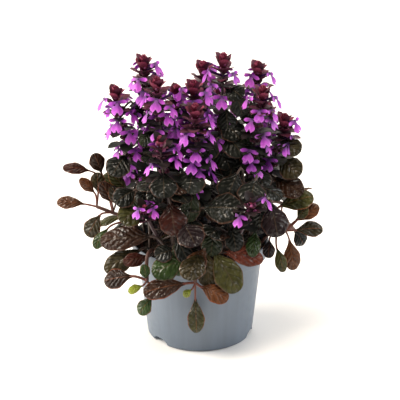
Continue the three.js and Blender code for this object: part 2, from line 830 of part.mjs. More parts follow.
const finishes = {
  pot: new THREE.MeshStandardMaterial({ color: 0x8d949f, roughness: 0.45, metalness: 0 }),
  soil: new THREE.MeshStandardMaterial({ color: 0x2b211a, roughness: 1, metalness: 0 }),
  spike: new THREE.MeshStandardMaterial({ color: 0xb84fca, roughness: 0.6, metalness: 0 }),
  rosette: new THREE.MeshStandardMaterial({ color: 0x2e2a24, roughness: 0.4, metalness: 0 }),
  runner: new THREE.MeshStandardMaterial({ color: 0x5a3626, roughness: 0.45, metalness: 0 }),
};

const plant = new THREE.Group();

function addNode(name, solid, finish) {
  const mesh = new THREE.Mesh(geometryOf(solid), finishes[finish].clone());
  mesh.name = name;
  plant.add(mesh);
}

addNode('pot', potSolid, 'pot');
addNode('potting_soil', soilSolid, 'soil');
for (const node of nodes) {
  const pieces = grown.filter((part) => part.owner === node.name).map((part) => part.solid);
  addNode(node.name, wasm.Manifold.union(pieces), node.finish);
}

export default plant;
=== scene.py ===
# Potted bugleweed: a bronze-leaved Ajuga in bloom, in a moulded grey-blue nursery pot.
# Lengths are millimetres and turns are degrees until a mesh is made, and -Y is the front.
import json
import math
from functools import partial

import bmesh
import bpy
from mathutils import Matrix, Vector
from mathutils.kdtree import KDTree

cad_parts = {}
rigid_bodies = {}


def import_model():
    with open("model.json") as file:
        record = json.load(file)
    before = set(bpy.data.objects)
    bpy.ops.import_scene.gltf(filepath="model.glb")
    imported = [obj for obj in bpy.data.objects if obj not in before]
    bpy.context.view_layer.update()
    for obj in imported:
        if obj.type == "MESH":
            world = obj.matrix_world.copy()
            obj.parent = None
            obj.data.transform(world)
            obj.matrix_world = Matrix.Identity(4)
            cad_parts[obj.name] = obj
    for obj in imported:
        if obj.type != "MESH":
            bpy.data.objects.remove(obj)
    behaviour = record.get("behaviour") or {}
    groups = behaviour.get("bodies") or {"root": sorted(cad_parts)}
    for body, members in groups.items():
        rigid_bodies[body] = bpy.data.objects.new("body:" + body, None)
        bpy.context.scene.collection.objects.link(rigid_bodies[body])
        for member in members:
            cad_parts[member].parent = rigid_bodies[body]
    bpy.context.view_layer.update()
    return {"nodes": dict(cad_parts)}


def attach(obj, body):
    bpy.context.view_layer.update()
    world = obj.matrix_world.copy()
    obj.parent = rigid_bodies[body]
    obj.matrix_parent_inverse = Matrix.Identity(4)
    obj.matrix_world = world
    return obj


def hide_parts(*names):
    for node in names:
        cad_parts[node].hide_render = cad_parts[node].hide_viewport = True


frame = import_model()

scene = bpy.context.scene
mm = 0.001
deg = math.pi / 180
up = Vector((0, 0, 1))
front = Vector((0, -1, 0))


def chance(seed):  # repeatable, between 0 and 1
    wave = math.sin(seed * 127.1) * 43758.5453
    return wave - math.floor(wave)


def heading(turn):
    return Vector((math.cos(turn * deg), math.sin(turn * deg), 0))


def hexColour(text):  # sRGB hex to linear
    channels = [int(text[place:place + 2], 16) / 255 for place in (1, 3, 5)]
    linear = [c / 12.92 if c <= 0.04045 else ((c + 0.055) / 1.055) ** 2.4 for c in channels]
    return (*linear, 1.0)


def setInputs(tree, node, inputs):  # a node stands for its first enabled output
    for key, value in inputs.items():
        if isinstance(value, bpy.types.Node):
            value = next(socket for socket in value.outputs if socket.enabled)
        if isinstance(value, bpy.types.NodeSocket):
            tree.links.new(value, node.inputs[key])
        else:
            node.inputs[key].default_value = value


def addNode(tree, kind, inputs=None, **settings):  # one node with its settings, values and links
    node = tree.nodes.new(kind)
    for name, value in settings.items():
        setattr(node, name, value)
    setInputs(tree, node, inputs or {})
    return node


def startMaterial(name):  # also gives the place in the object, which its patterns follow
    material = bpy.data.materials.new(name)
    material.use_nodes = True
    add = partial(addNode, material.node_tree)
    return material, add, add("ShaderNodeTexCoord").outputs["Object"]


def startTinted(name):  # also gives the colour of a copy, and places across and along it
    material, add, place = startMaterial(name)
    tint = add("ShaderNodeAttribute", attribute_name="tint")
    grain = add("ShaderNodeSeparateXYZ", {"Vector": add("ShaderNodeUVMap", uv_map="grain")})
    return material, add, place, tint, grain.outputs


def finishMaterial(material, inputs):
    tree = material.node_tree
    setInputs(tree, tree.nodes["Principled BSDF"], inputs)
    return material


def perMm(size):  # scale of a pattern whose parts are this wide
    return 1 / (size * mm)


def limits(*values):  # the four that a Map Range node has
    return dict(zip(("From Min", "From Max", "To Min", "To Max"), values))


def setRamp(node, stops):
    elements = node.color_ramp.elements
    elements.remove(elements[1])
    elements[0].position, elements[0].color = stops[0][0], hexColour(stops[0][1])
    for place, colour in stops[1:]:
        elements.new(place).color = hexColour(colour)


def addObject(name, data):
    item = bpy.data.objects.new(name, data)
    scene.collection.objects.link(item)
    return item


def finishMesh(mesh, weld=0, sharpAngle=50):  # corners closer than weld merge; smooth but for sharp edges
    if weld:
        shape = bmesh.new()
        shape.from_mesh(mesh)
        bmesh.ops.remove_doubles(shape, verts=shape.verts, dist=weld)
        shape.to_mesh(mesh)
        shape.free()
    mesh.validate()
    mesh.polygons.foreach_set("use_smooth", [True] * len(mesh.polygons))
    mesh.set_sharp_from_angle(angle=sharpAngle * deg)
    return mesh


def meshPiece(name, points, faces, material, weld=0, sharpAngle=50):
    mesh = bpy.data.meshes.new(name)
    mesh.from_pydata([point * mm for point in points], [], faces)
    finishMesh(mesh, weld, sharpAngle).materials.append(material)
    return addObject(name, mesh)


def dress(piece, nodes):
    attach(piece, "root")
    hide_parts(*nodes)
    print(f"{piece.name}: {len(piece.data.polygons)} faces")


# Camera, floor and light

view = {
    "pitch": 22,        # how far the camera looks down
    "distance": 1200,
    "aim": 125,         # height of the point it looks at
    "lens": 122.7,
    "sensor": 36,
}
studio = {
    "sky": "#F6F4F1",
    "skyStrength": 0.36,
    "paper": "#FCFCFC",
    "paperHalf": 3000,
    "paperDrop": 0.3,   # how far the paper lies below the pot's foot
}
softBoxes = [  # name; place, aim and size in metres; watts and colour
    ("keyBox", (-1.2, 0.2, 0.75), (0, 0, 0.12), 0.8, 30, "#FFF6E8"),
    ("topBox", (-0.1, -0.3, 1.25), (0, 0, 0.15), 0.45, 10, "#FFF0DC"),
    ("fillBox", (1.2, 0.1, 0.65), (0, 0, 0.12), 0.9, 11, "#FFFFFF"),
    ("backBox", (0.2, 1.1, 0.9), (0, 0, 0.15), 0.9, 9, "#FFF6E8"),
    ("lowBox", (-1.1, -0.25, 0.16), (0, 0, 0.05), 0.5, 3.5, "#FFFFFF"),
]


def makeCamera():
    pitch = view["pitch"] * deg
    away = Vector((0, -math.cos(pitch), math.sin(pitch)))
    data = bpy.data.cameras.new("photoCamera")
    data.lens = view["lens"]
    data.sensor_width = view["sensor"]
    camera = addObject("photoCamera", data)
    camera.location = (up * view["aim"] + away * view["distance"]) * mm
    camera.rotation_euler = away.to_track_quat("Z", "Y").to_euler()
    scene.camera = camera


def makeLights():
    for name, place, aim, size, watts, colour in softBoxes:
        data = bpy.data.lights.new(name, "AREA")
        data.size = size
        data.energy = watts
        data.color = hexColour(colour)[:3]
        light = addObject(name, data)
        light.location = place
        light.rotation_euler = (Vector(place) - Vector(aim)).to_track_quat("Z", "Y").to_euler()
    world = bpy.data.worlds.new("studio")
    world.use_nodes = True
    sky = {"Color": hexColour(studio["sky"]), "Strength": studio["skyStrength"]}
    setInputs(world.node_tree, world.node_tree.nodes["Background"], sky)
    scene.world = world
    scene.view_settings.view_transform = "Standard"


def makeFloor():
    half, level = studio["paperHalf"], -studio["paperDrop"]
    corners = [Vector((x * half, y * half, level)) for x, y in ((-1, -1), (1, -1), (1, 1), (-1, 1))]
    paper = bpy.data.materials.new("matteBackdropPaper")  # even and pale, so only shadow shows on it
    paper.use_nodes = True
    finishMaterial(paper, {"Base Color": hexColour(studio["paper"]), "Roughness": 0.9})
    floor = meshPiece("studioFloor", corners, [(0, 1, 2, 3)], paper)


makeCamera()
makeLights()
makeFloor()
print("camera, light and floor are set")


# Layout: the same driving sizes as the solid model's

stem = {
    "radius": 1.9,
    "bud": 11,         # length of the bud at the tip
    "foot": 83,
    "gather": 0.5,     # how close to the middle a foot stands, as a share of the tip's reach
    "bow": 0.18,
    "buried": 9,
    "samples": 200,
    "ringEvery": 20,   # samples from one ring of the skin to the next
    "taper": 0.3,
    "slim": 0.95,      # the skin's radius, as a share of the solid's
    "tipRadius": 0.8,
    "tipShare": 0.5,   # how far into the bud the skin goes, as a share
    "sides": 4,        # a bugleweed's stem is square
    "swell": 1.0,
    "colour": "#3E2A30",
}
whorl = {"firstDrop": 24, "spacing": 14, "most": 3, "turn": 90, "pairTurn": 20}  # tiers by rule
floret = {
    "reach": 11,
    "rise": 4.5,
    "lean": 24,
    "turnAside": 24,       # one that has no room is turned by this much
    "corner": (4.7, -10.2),
    "smallest": 0.97,
    "vary": 0.14,
    "extraSmallest": 0.92,   # sizes of those that the solids don't have
    "extraVary": 0.12,
    "lift": 5,             # how much higher its petals open than the solid's lip
}
crown = {"foot": 84, "leafReach": 2.6, "leafStep": 2}
modestTips = {12: 0.72, 14: 0.5, 15: 0.6}  # young spikes, by number, and how large the tip of each is
bractPairs = [  # drop, turn, rise, length and width
    (12.5, 45, 58, 12.5, 9),
    (18, 135, 30, 13, 9.5),
    (29, 8, 6, 14, 10),
    (43, 98, -8, 15.5, 11.2),
]
bractBelow = 5  # a pair stands at most this far below the lowest flowers
burgundyAbove = 20  # a pair nearer the tip than this is burgundy, but for the young spikes
stemLeaves = {  # leaves below the flowers
    "gap": 14,         # from the lowest flowers to the first leaf
    "step": 11,
    "turn": 45,
    "turnStep": 137,
    "length": 25,
    "lengthen": 2,
    "width": 21,
    "rise": -14,
    "clasp": 0.16,     # where a placed leaf's blade begins, as a share of its reach
}
leafRule = {
    "lift": 5,             # one that has no room is lifted or lowered by this much
    "liftFoot": 0.5,       # share of that for the foot of its blade
    "arch": 3,             # rise of the blade's middle, where a row gives no other
    "slender": 17,         # a blade narrower than this has a slender stalk
    "slenderStalk": 0.75,
    "stalkedFrom": 18,     # a stem's leaf has a stalk from this length on
    "stalk": 2,            # length of that stalk
    "sunk": 0.5,           # where a blade with no stalk begins, as a share of the stem's radius
    "stemArch": 0.08,      # rise of such a blade's middle, as a share of its length
    "frontLean": 1.1,      # how far a leaf that the photo shows looks to the front
    "hangingLean": 0.75,   # how far the others look outward
    "risingLean": 0.35,
    "frontEdge": 20,       # shown are those whose ends have a sum of Y below this
}
foundWithin = 0.15  # a part grew where the solid has a corner this close to its tip

tints = {
    "night": "#131510", "slate": "#1C1E1A", "plum": "#1F1517", "bronze": "#2C2615",
    "umber": "#29180F", "wine": "#371812", "rose": "#5A2A1E", "rust": "#51301B",
    "olive": "#3A391B", "moss": "#1D2414", "green": "#2B3C1B", "lime": "#7F8A2C",
    "apex": "#7A3148", "apexDark": "#4E2033", "pod": "#8E4A72", "calyx": "#46202F",
}
# Tints for leaves within the plant: partly their own dark bronze, partly painted shade of the plant's middle;
# the paler edge tints go on the fan's outer layer
shadedInnerTints = ["night", "night", "slate", "plum", "bronze", "night", "umber"]
edgeTints = ["umber", "bronze", "olive", "rust", "green", "wine"]

# Spikes: tip, turn about the stem, leaves below the flowers, size of the florets, flowering tiers
# and listed leaves. A tier is its drop below the tip and the turns of its florets; a
# number stands for that many tiers by rule. A leaf is the height of its root, tip, width and tint.
spikes = [
    ((-48, 5, 256), 280, 3, 1, [
        (19, 350, 110), (29, 240, 50), (40, 250, 330, 100), (51, 200, 20), (62, 195, 300, 90), (74, 200, 320),
    ], []),
    ((-36, -19, 244), 255, 3, 1, [(27, 262, 20, 190), (40, 200, 300, 80), (54, 250, 340, 130)], []),
    ((20, 8, 257), 290, 3, 1, [(26, 190, 325, 80), (46, 270, 30, 150), (70, 340, 200, 90), (84, 262)], [
        (228, (36, -5, 221), 19, "night"),
        (178, (26, -12, 158), 24, "night"),
        (198, (34, -10, 185), 22, "night"),
        (188, (37, -18, 173), 22, "slate"),
    ]),
    ((50, 14, 248), 265, 2, 1, [(20, 242, 340, 90), (36, 230, 350, 120), (50, 200, 300), (64, 30)], []),
    ((53, -14, 235), 300, 2, 1, [
        (20, 195, 345), (38, 240, 330, 80), (52, 300, 150), (66, 230), (82, 302, 100),
    ], []),
    ((73, 2, 205), 270, 1, 1, [(15, 320), (22, 205, 60), (36, 320, 120), (50, 250, 40)], [
        (182, (85, -9, 171), 18, "bronze"),
        (164, (86, -14, 153), 22, "bronze"),
        (148, (88, -20, 138), 22, "umber"),
    ]),
    ((-72, 1, 230), 260, 2, 1, [
        (22, 270, 190, 60), (38, 255, 30), (49, 195, 290, 90), (66, 215, 300), (88, 235, 292),
    ], [(170, (-75, -24, 157), 22, "slate")]),
    ((-5, -5, 237), 285, 2, 1, [
        (20, 345, 150), (26, 265), (38, 340, 200, 60), (52, 230, 350), (66, 100),
    ], []),
    ((3, 32, 243), 275, 2, 1, [(16, 300, 60), (32, 200, 340, 90), (48, 290, 60, 180), (62, 20)], []),
    ((-20, 20, 225), 250, 2, 1, [(16, 268, 140), (27, 225, 330, 80), (39, 200, 300), (51, 250, 110)], []),
    ((-4, -35, 226), 290, 1, 1, [
        (22, 345, 100), (35, 230, 342, 150), (49, 270, 60), (60, 232, 340, 140), (73, 352), (86, 262, 170),
    ], [(172, (-10, -50, 151), 25, "slate")]),
    ((-33, -44, 203), 270, 1, 1, [(24, 345, 90), (38, 200, 60)], [(171, (-30, -58, 150), 24, "night")]),
    ((72, 36, 184), 20, 1, 1, 2, []),
    ((43, -62, 156), 255, 0, 1, [(14, 345, 100), (30, 240)], []),
    ((-46, -56, 147), 280, 0, 0.8, [(13, 232, 312, 80)], []),
    ((-64, 30, 180), 150, 0, 1, 2, []),
    ((-44, 46, 214), 45, 2, 1, 3, []),
    ((16, 62, 217), 90, 2, 1, 3, []),
    ((60, 42, 201), 30, 2, 1, 3, []),
]

# Rosettes: crown, listed leaves with base, tip, width, tint and any unusual arch, and a fan
# by rule with the way it looks and its number of leaves
rosettes = [
    ((-21, -41), [
        ((-41, -46, 110), (-86, -38, 102), 22, "umber", 4),
        ((-21, -50, 112), (-9, -64, 92), 15, "night"),
        ((-22, -54, 101), (-38, -62, 98), 17, "slate"),
        ((-14, -58, 94), (-40, -68, 84), 22, "green", 4),
        ((-25, -48, 142), (-21, -62, 118), 24, "wine"),
        ((-10, -44, 128), (0, -56, 106), 20, "night"),
    ], (-118, 3)),
    ((10, -43), [
        ((12, -57, 100), (32, -70, 69), 25, "olive", 4),
        ((4, -58, 101), (-8, -70, 82), 18, "rust"),
        ((20, -55, 99), (54, -54, 92), 18, "rose", 4),
        ((2, -46, 136), (34, -60, 141), 28, "night"),
        ((16, -46, 114), (8, -62, 112), 22, "night"),
    ], (-78, 2)),
    ((37, -28), [
        ((47, -44, 114), (44, -60, 97), 13, "green"),
        ((60, -40, 138), (66, -52, 112), 24, "plum"),
        ((47, -36, 158), (41, -54, 142), 25, "slate"),
        ((32, -32, 163), (22, -44, 142), 24, "night"),
        ((32, -42, 122), (28, -54, 102), 20, "night"),
    ], (-22, 3)),
    ((46, 12), [], (14, 7)),
    ((30, 36), [], (50, 7)),
    ((-4, 47), [], (95, 7)),
    ((-35, 33), [], (137, 7)),
    ((-48, 8), [], (168, 7)),
    ((-42, -20), [
        ((-52, -34, 132), (-66, -50, 124), 22, "olive"),
        ((-51, -41, 95.5), (-82, -51, 80), 19, "bronze"),
        ((-56, -30, 146), (-72, -40, 138), 20, "night"),
    ], (-155, 3)),
]
fanLayers = [  # reach of base and tip, their heights, and width
    (19, 46, 101, 87, 22),
    (12, 37, 150, 143, 24),
    (17, 43, 126, 115, 24),
]
fan = {"swing": 150, "sway": 14, "shortest": 0.9, "vary": 0.2}  # its whole spread, and how leaves vary

# Runners: joints of the stolon, and leaves with their joint, base, tip, width, tint and any unusual arch
runners = [
    ([(-50, -14, 83), (-60, -16, 112), (-76, -15, 119), (-90, -13, 124)], [
        (3, (-101, -12, 126), (-125, -10, 127), 12, "rust"),
        (3, (-92, -10, 136), (-104, -13, 150), 10, "rust"),
        (3, (-89, -6, 135), (-89, -5, 153), 13, "bronze"),
        (2, (-96, -4, 154), (-119, -6, 158), 11, "wine"),
        (2, (-86, -2, 152), (-92, -4, 170), 14, "umber"),
        (2, (-87, -18, 118), (-98, -21, 99), 16, "bronze"),
        (1, (-80, -24, 108), (-92, -26, 90), 11, "green"),
        (2, (-74, 0, 134), (-82, 8, 148), 15, "olive"),
    ]),
    ([(-34, -36, 83), (-40, -45, 97), (-45, -56, 95), (-45, -64, 77)], [
        (3, (-58, -64, 81), (-82, -59, 74), 18, "umber"),
        (3, (-46, -66, 80), (-47, -68, 94), 9, "green"),
        (3, (-49, -66, 73), (-61, -68, 68), 8, "lime"),
        (3, (-41, -66, 62), (-52, -68, 47), 13, "green"),
    ]),
    ([(-8, -44, 83), (-6, -58, 96), (-5, -66, 90), (-4, -68, 77)], [
        (3, (-13, -70, 77), (-48, -74, 70), 19, "umber", 4),
        (3, (-4, -69, 62), (-3, -66, 28), 15, "olive"),
        (3, (1, -70, 74), (24, -74, 64), 17, "rust"),
        (3, (-7, -71, 72), (-14, -72, 66), 7, "lime"),
    ]),
    ([(50, -10, 83), (59, -14, 97), (67, -18, 102), (75, -15, 102)], [
        (3, (84, -14, 102), (108, -11, 102), 15, "bronze"),
        (3, (84, -11, 110), (104, -8, 123), 14, "rust"),
        (2, (70, -12, 124), (99, -8, 132), 19, "olive"),
        (3, (78, -22, 96), (82, -28, 70), 15, "rust"),
        (2, (67, -26, 90), (73, -32, 70), 11, "olive"),
        (2, (60, -31, 100), (59, -40, 87), 11, "plum"),
        (3, (84, -4, 97), (92, -3, 83), 14, "slate"),
    ]),
    ([(40, 32, 83), (50, 39, 100), (66, 48, 104), (76, 54, 100)], [
        (3, (82, 62, 100), (92, 78, 98), 14, "bronze"),
        (3, (84, 50, 108), (102, 46, 118), 13, "rust"),
        (2, (66, 56, 112), (72, 74, 126), 15, "umber"),
        (3, (76, 62, 88), (76, 72, 70), 12, "olive"),
    ]),
    ([(-28, 42, 83), (-36, 52, 101), (-48, 68, 104), (-56, 78, 98)], [
        (3, (-66, 80, 98), (-86, 84, 96), 14, "umber"),
        (3, (-56, 86, 104), (-54, 98, 116), 13, "bronze"),
        (2, (-56, 64, 114), (-74, 64, 126), 15, "rust"),
        (3, (-52, 84, 86), (-46, 88, 68), 12, "green"),
    ]),
]


def nodeNames(word, parts):
    return [f"{word}_{index + 1:02d}" for index in range(len(parts))]


def cornersOf(node):  # finder of a solid's corners
    vertices = frame["nodes"][node].data.vertices
    finder = KDTree(len(vertices))
    for vertex in vertices:
        finder.insert(vertex.co, vertex.index)
    finder.balance()
    return finder


def hasCorner(finder, spot):
    return finder.find(spot * mm)[2] < foundWithin * mm


def bezier(start, middle, end, place):
    return start.lerp(middle, place).lerp(middle.lerp(end, place), place)


def stemCurve(tip):  # its three guides, and even samples with the way along the stem to each
    x, y, height = tip
    foot = Vector((x * stem["gather"], y * stem["gather"], stem["foot"]))
    top = Vector((x, y, height - stem["bud"]))
    bow = foot.lerp(top, 0.5)
    bow.x += (x - foot.x) * stem["bow"]
    bow.y += (y - foot.y) * stem["bow"]
    count = stem["samples"]
    samples = [bezier(foot, bow, top, step / count) for step in range(count + 1)]
    ways = [0.0]
    for before, after in zip(samples, samples[1:]):
        ways.append(ways[-1] + (after - before).length)
    return {"guides": (foot, bow, top), "samples": samples, "ways": ways}


def stemSpot(curve, drop):  # place on a stem this far below its tip
    samples, ways = curve["samples"], curve["ways"]
    way = max(0, ways[-1] - (drop - stem["bud"]))
    step = next(index for index in range(1, len(ways)) if ways[index] >= way)
    share = (way - ways[step - 1]) / (ways[step] - ways[step - 1])
    return samples[step - 1].lerp(samples[step], share)


def stalkedLeaf(root, base, tip, width, tint, arch=leafRule["arch"], byRule=False):
    base, tip = Vector(base), Vector(tip)
    outward = Vector((base.x + tip.x, base.y + tip.y, 0)).normalized()
    lean = leafRule["hangingLean" if base.z > tip.z else "risingLean"]
    shown = not byRule and base.y + tip.y < leafRule["frontEdge"]
    return {
        "root": root,
        "base": base,
        "tip": tip,
        "width": width,
        "arch": arch,
        "face": (up + (front * leafRule["frontLean"] if shown else outward * lean)).normalized(),
        "stalk": leafRule["slenderStalk"] if width < leafRule["slender"] else 1,
        "tint": tint,
    }


def stemLeaf(root, turn, length, width, rise, tint):  # bract or leaf that stands out of a stem
    out = heading(turn)
    level, tilt = math.cos(rise * deg), math.sin(rise * deg)
    aim = out * level + up * tilt
    radius = stem["radius"]
    stalked = length > leafRule["stalkedFrom"]
    return {
        "root": root,
        "base": root + aim * (radius + leafRule["stalk"] if stalked else radius * leafRule["sunk"]),
        "tip": root + aim * (radius + length),
        "width": width,
        "arch": length * leafRule["stemArch"],
        "face": up * level - out * tilt,
        "stalk": 1 if stalked else 0,
        "tint": tint,
    }


def grownLeaf(leaf, corners):  # as the solid has it: as meant, lifted or lowered
    for lift in (0, leafRule["lift"], -leafRule["lift"]):
        if hasCorner(corners, leaf["tip"] + up * lift):
            base = leaf["base"] + up * lift * leafRule["liftFoot"]
            return [{**leaf, "base": base, "tip": leaf["tip"] + up * lift}]
    return []


def floretFrame(root, turn, size):
    lean = floret["lean"] * deg
    out = heading(turn)
    facing = out * math.cos(lean) + up * math.sin(lean)
    across = up.cross(out).normalized()
    throat = root + (out * floret["reach"] + up * floret["rise"]) * size
    return {"throat": throat, "axes": (across, facing.cross(across), facing), "size": size}


def grownFloret(root, turn, size, corners):
    right, top = floret["corner"]
    for way in (0, 1, -1):
        spot = floretFrame(root, turn + way * floret["turnAside"], size)
        across, upward, _ = spot["axes"]
        if hasCorner(corners, spot["throat"] + (across * right + upward * top) * size):
            return [spot]
    return []


def anyOf(palette, seed):  # the same pick for the same seed
    return palette[int(chance(seed) * len(palette))]


def fanLeaves(centre, outward, count, seed):
    x, y = centre
    leaves = []
    for index in range(count):
        layer = index % len(fanLayers)
        baseReach, tipReach, baseHeight, tipHeight, width = fanLayers[layer]
        swing = ((index + 0.5) / count - 0.5) * fan["swing"]
        out = heading(outward + swing + fan["sway"] * (chance(seed * 17 + index) - 0.5))
        reach = tipReach * (fan["shortest"] + fan["vary"] * chance(seed * 29 + index))
        base = (x + out.x * baseReach, y + out.y * baseReach, baseHeight)
        tip = (x + out.x * reach, y + out.y * reach, tipHeight)
        # the inner layers take the dark tints, partly painted shade
        tint = anyOf(shadedInnerTints if layer else edgeTints, seed * 41 + index)
        leaves.append((base, tip, width, tint))
    return leaves


def tiersByRule(count, turn):
    tiers = []
    for tier in range(count):
        most = whorl["most"] - tier % 2
        aside = whorl["pairTurn"] if most == 2 else 0
        turns = [turn + tier * whorl["turn"] + part * 360 / most + aside for part in range(most)]
        tiers.append((whorl["firstDrop"] + tier * whorl["spacing"], *turns))
    return tiers


spikeNodes = nodeNames("flower_spike", spikes)
rosetteNodes = nodeNames("leaf_rosette", rosettes)
runnerNodes = nodeNames("runner", runners)
stems, blades, bracts, florets, runnerBlades, stolons = [], [], [], [], [], []


def layOutSpike(seed, corners, tip, turn, leafCount, small, tiers, placed):
    curve = stemCurve(tip)
    foot, _, top = curve["guides"]
    tiers = tiersByRule(tiers, turn) if isinstance(tiers, int) else tiers
    lowest = tiers[-1][0]
    stems.append({
        "curve": curve,
        "top": curve["samples"][-1],
        "turn": turn,
        "tiers": tiers,
        "seed": seed,
        "small": small,
    })
    for tier, (drop, *turns) in enumerate(tiers):
        for part, swing in enumerate(turns):
            size = (floret["smallest"] + floret["vary"] * chance(seed * 31 + tier * 7 + part)) * small
            florets.extend(grownFloret(stemSpot(curve, drop), swing, size, corners))
    for drop, aside, rise, length, width in bractPairs:
        if drop > lowest + bractBelow:
            continue
        tint = "apexDark" if drop < burgundyAbove and seed not in modestTips else "plum"
        for swing in (turn + aside, turn + aside + 180):
            leaf = stemLeaf(stemSpot(curve, drop), swing, length, width, rise, tint)
            bracts.extend(grownLeaf(leaf, corners))
    rule = stemLeaves
    for part in range(leafCount):
        root = stemSpot(curve, lowest + rule["gap"] + part * rule["step"])
        swing = turn + rule["turn"] + part * rule["turnStep"]
        length = rule["length"] + part * rule["lengthen"]
        # a dark tint, partly painted shade among the stems
        tint = anyOf(shadedInnerTints, seed * 5 + part)
        leaf = stemLeaf(root, swing, length, rule["width"], rule["rise"], tint)
        blades.extend(grownLeaf(leaf, corners))
    for height, leafTip, width, tint in placed:
        root = bezier(*curve["guides"], (height - foot.z) / (top.z - foot.z))
        base = root.lerp(Vector(leafTip), rule["clasp"])
        blades.extend(grownLeaf(stalkedLeaf(root, base, leafTip, width, tint), corners))


for seed, (node, spike) in enumerate(zip(spikeNodes, spikes), 1):
    layOutSpike(seed, cornersOf(node), *spike)

for seed, (node, ((x, y), placed, fanSize)) in enumerate(zip(rosetteNodes, rosettes), 1):
    corners = cornersOf(node)
    for specs, byRule in ((placed, False), (fanLeaves((x, y), *fanSize, seed), True)):
        for part, spec in enumerate(specs):
            out = Vector((spec[0][0] - x, spec[0][1] - y, 0)).normalized()
            root = Vector((x, y, crown["foot"] + part % 3 * crown["leafStep"])) + out * crown["leafReach"]
            blades += grownLeaf(stalkedLeaf(root, *spec, byRule=byRule), corners)

for node, (route, leaves) in zip(runnerNodes, runners):
    corners = cornersOf(node)
    stolons.append([Vector(point) for point in route])
    for joint, *spec in leaves:
        runnerBlades += grownLeaf(stalkedLeaf(stolons[-1][joint], *spec), corners)

print(f"layout: {len(florets)} florets, {len(bracts)} bracts, {len(blades)} leaves and "
      f"{len(runnerBlades)} runner leaves as in the solids")


# Small growth that only the scene has: leaves deep among the stems, bracts under the whorls and a
# few more florets

tuckedLeaves = [  # base, tip, width and tint
    ((31, -2, 223), (36, -8, 205), 17, "slate"),
    ((22, 2, 209), (24, -4, 190), 18, "night"),
    ((42, 4, 214), (45, 0, 195), 19, "night"),
    ((40, -2, 193), (33, -8, 175), 19, "moss"),
    ((26, 0, 185), (19, -6, 167), 18, "night"),
    ((47, -6, 176), (40, -14, 158), 18, "moss"),
    ((31, -4, 168), (25, -12, 149), 20, "night"),
    ((50, -12, 160), (55, -20, 142), 18, "slate"),
    ((-41, -8, 192), (-50, -16, 181), 13, "moss"),
    ((14, -10, 184), (6, -16, 170), 15, "slate"),
    ((-32, -38, 153), (-42, -46, 140), 16, "night"),
    ((-5, -40, 150), (-10, -50, 125), 17, "moss"),
    ((-55, -20, 141), (-58, -24, 125), 15, "moss"),
    ((-46, -20, 146), (-51, -30, 133), 15, "night"),
    ((53, -30, 132), (50, -36, 114), 15, "night"),
    ((-44, -50, 93), (-65, -61, 92), 13, "wine"),
    ((-58, 8, 212), (-52, 4, 200), 13, "plum"),
    ((5, -58, 100), (8, -66, 72), 20, "bronze"),
    ((12, -50, 117), (9, -59, 97), 19, "moss"),
    ((-19, -51, 111), (-15, -60, 91), 16, "moss"),
    ((26, -49, 121), (31, -57, 101), 17, "night"),
    ((-16, -58, 99), (-20, -65, 82), 14, "green"),
]
tuckedDrop = 6  # a tucked leaf's stalk leaves the stem about this far below the foot of its blade
tuckedRunnerLeaves = [  # runner, joint, base, tip, width and tint
    (0, 2, (-77, -17, 130), (-85, -20, 150), 13, "umber"),
    (0, 1, (-69, -17, 126), (-76, -20, 146), 13, "bronze"),
    (0, 1, (-64, -14, 140), (-78, -14, 156), 12, "olive"),
    (3, 3, (86, -12, 112), (93, -14, 124), 11, "olive"),
]
extraFlorets = [  # for each spike in turn, drops below its tip and turns about its stem
    [(16, 330), (30, 200), (46, 285)],
    [(34, 325), (45, 350)],
    [(36, 215)],
    [(28, 290), (44, 215)],
    [(29, 265), (31, 335), (62, 330), (76, 272)],
    [(30, 350), (36, 300)],
    [(26, 220), (32, 325), (44, 205), (56, 330), (80, 245), (92, 310)],
    [(17, 205), (45, 290), (58, 300)],
    [(28, 220), (42, 340), (56, 320)],
    [(24, 300), (36, 280), (46, 250)],
    [(42, 200), (67, 285), (76, 275)],
    [(31, 330)],
]
undergrowth = {
    "lowest": 94,      # height of the first leaf on a stem
    "step": 8,
    "clear": 2,        # from the lowest flowers to the highest leaf
    "turnStep": 137,
    "sway": 60,
    "length": 21,
    "shortest": 0.85,
    "vary": 0.4,
    "width": 18,
    "tilt": 18,        # most that one rises or falls
    "stalk": 0.7,      # thickness of its stalk, as a share
    "edge": 76,        # no leaf reaches further than this from the middle
    "variants": 3,
    "columns": 4,
    "rows": 6,
}
whorlBract = {
    "count": 4,        # in a tier
    "turnStep": 90,
    "tierTurn": 45,
    "drop": 3.5,       # below the florets of its tier
    "sway": 30,
    "length": 11,
    "lengthen": 1.2,   # by tier
    "vary": 3,
    "width": 0.82,     # as a share of the length
    "rise": 4,
    "sink": 8,         # how much less each lower tier rises
}


def stemNear(spot):  # closest point of any stem
    samples = (sample for spike in stems for sample in spike["curve"]["samples"])
    return min(samples, key=lambda sample: (sample - spot).length)


def addTucked():
    for base, *spec in tuckedLeaves:
        blades.append(stalkedLeaf(stemNear(Vector(base) - up * tuckedDrop), base, *spec))
    for runner, joint, *spec in tuckedRunnerLeaves:
        runnerBlades.append(stalkedLeaf(stolons[runner][joint], *spec))
    spots = [(spike, *spot) for spike, extra in zip(stems, extraFlorets) for spot in extra]
    for index, (spike, drop, turn) in enumerate(spots):
        size = floret["extraSmallest"] + floret["extraVary"] * chance(index + 0.4)
        florets.append(floretFrame(stemSpot(spike["curve"], drop), turn, size))


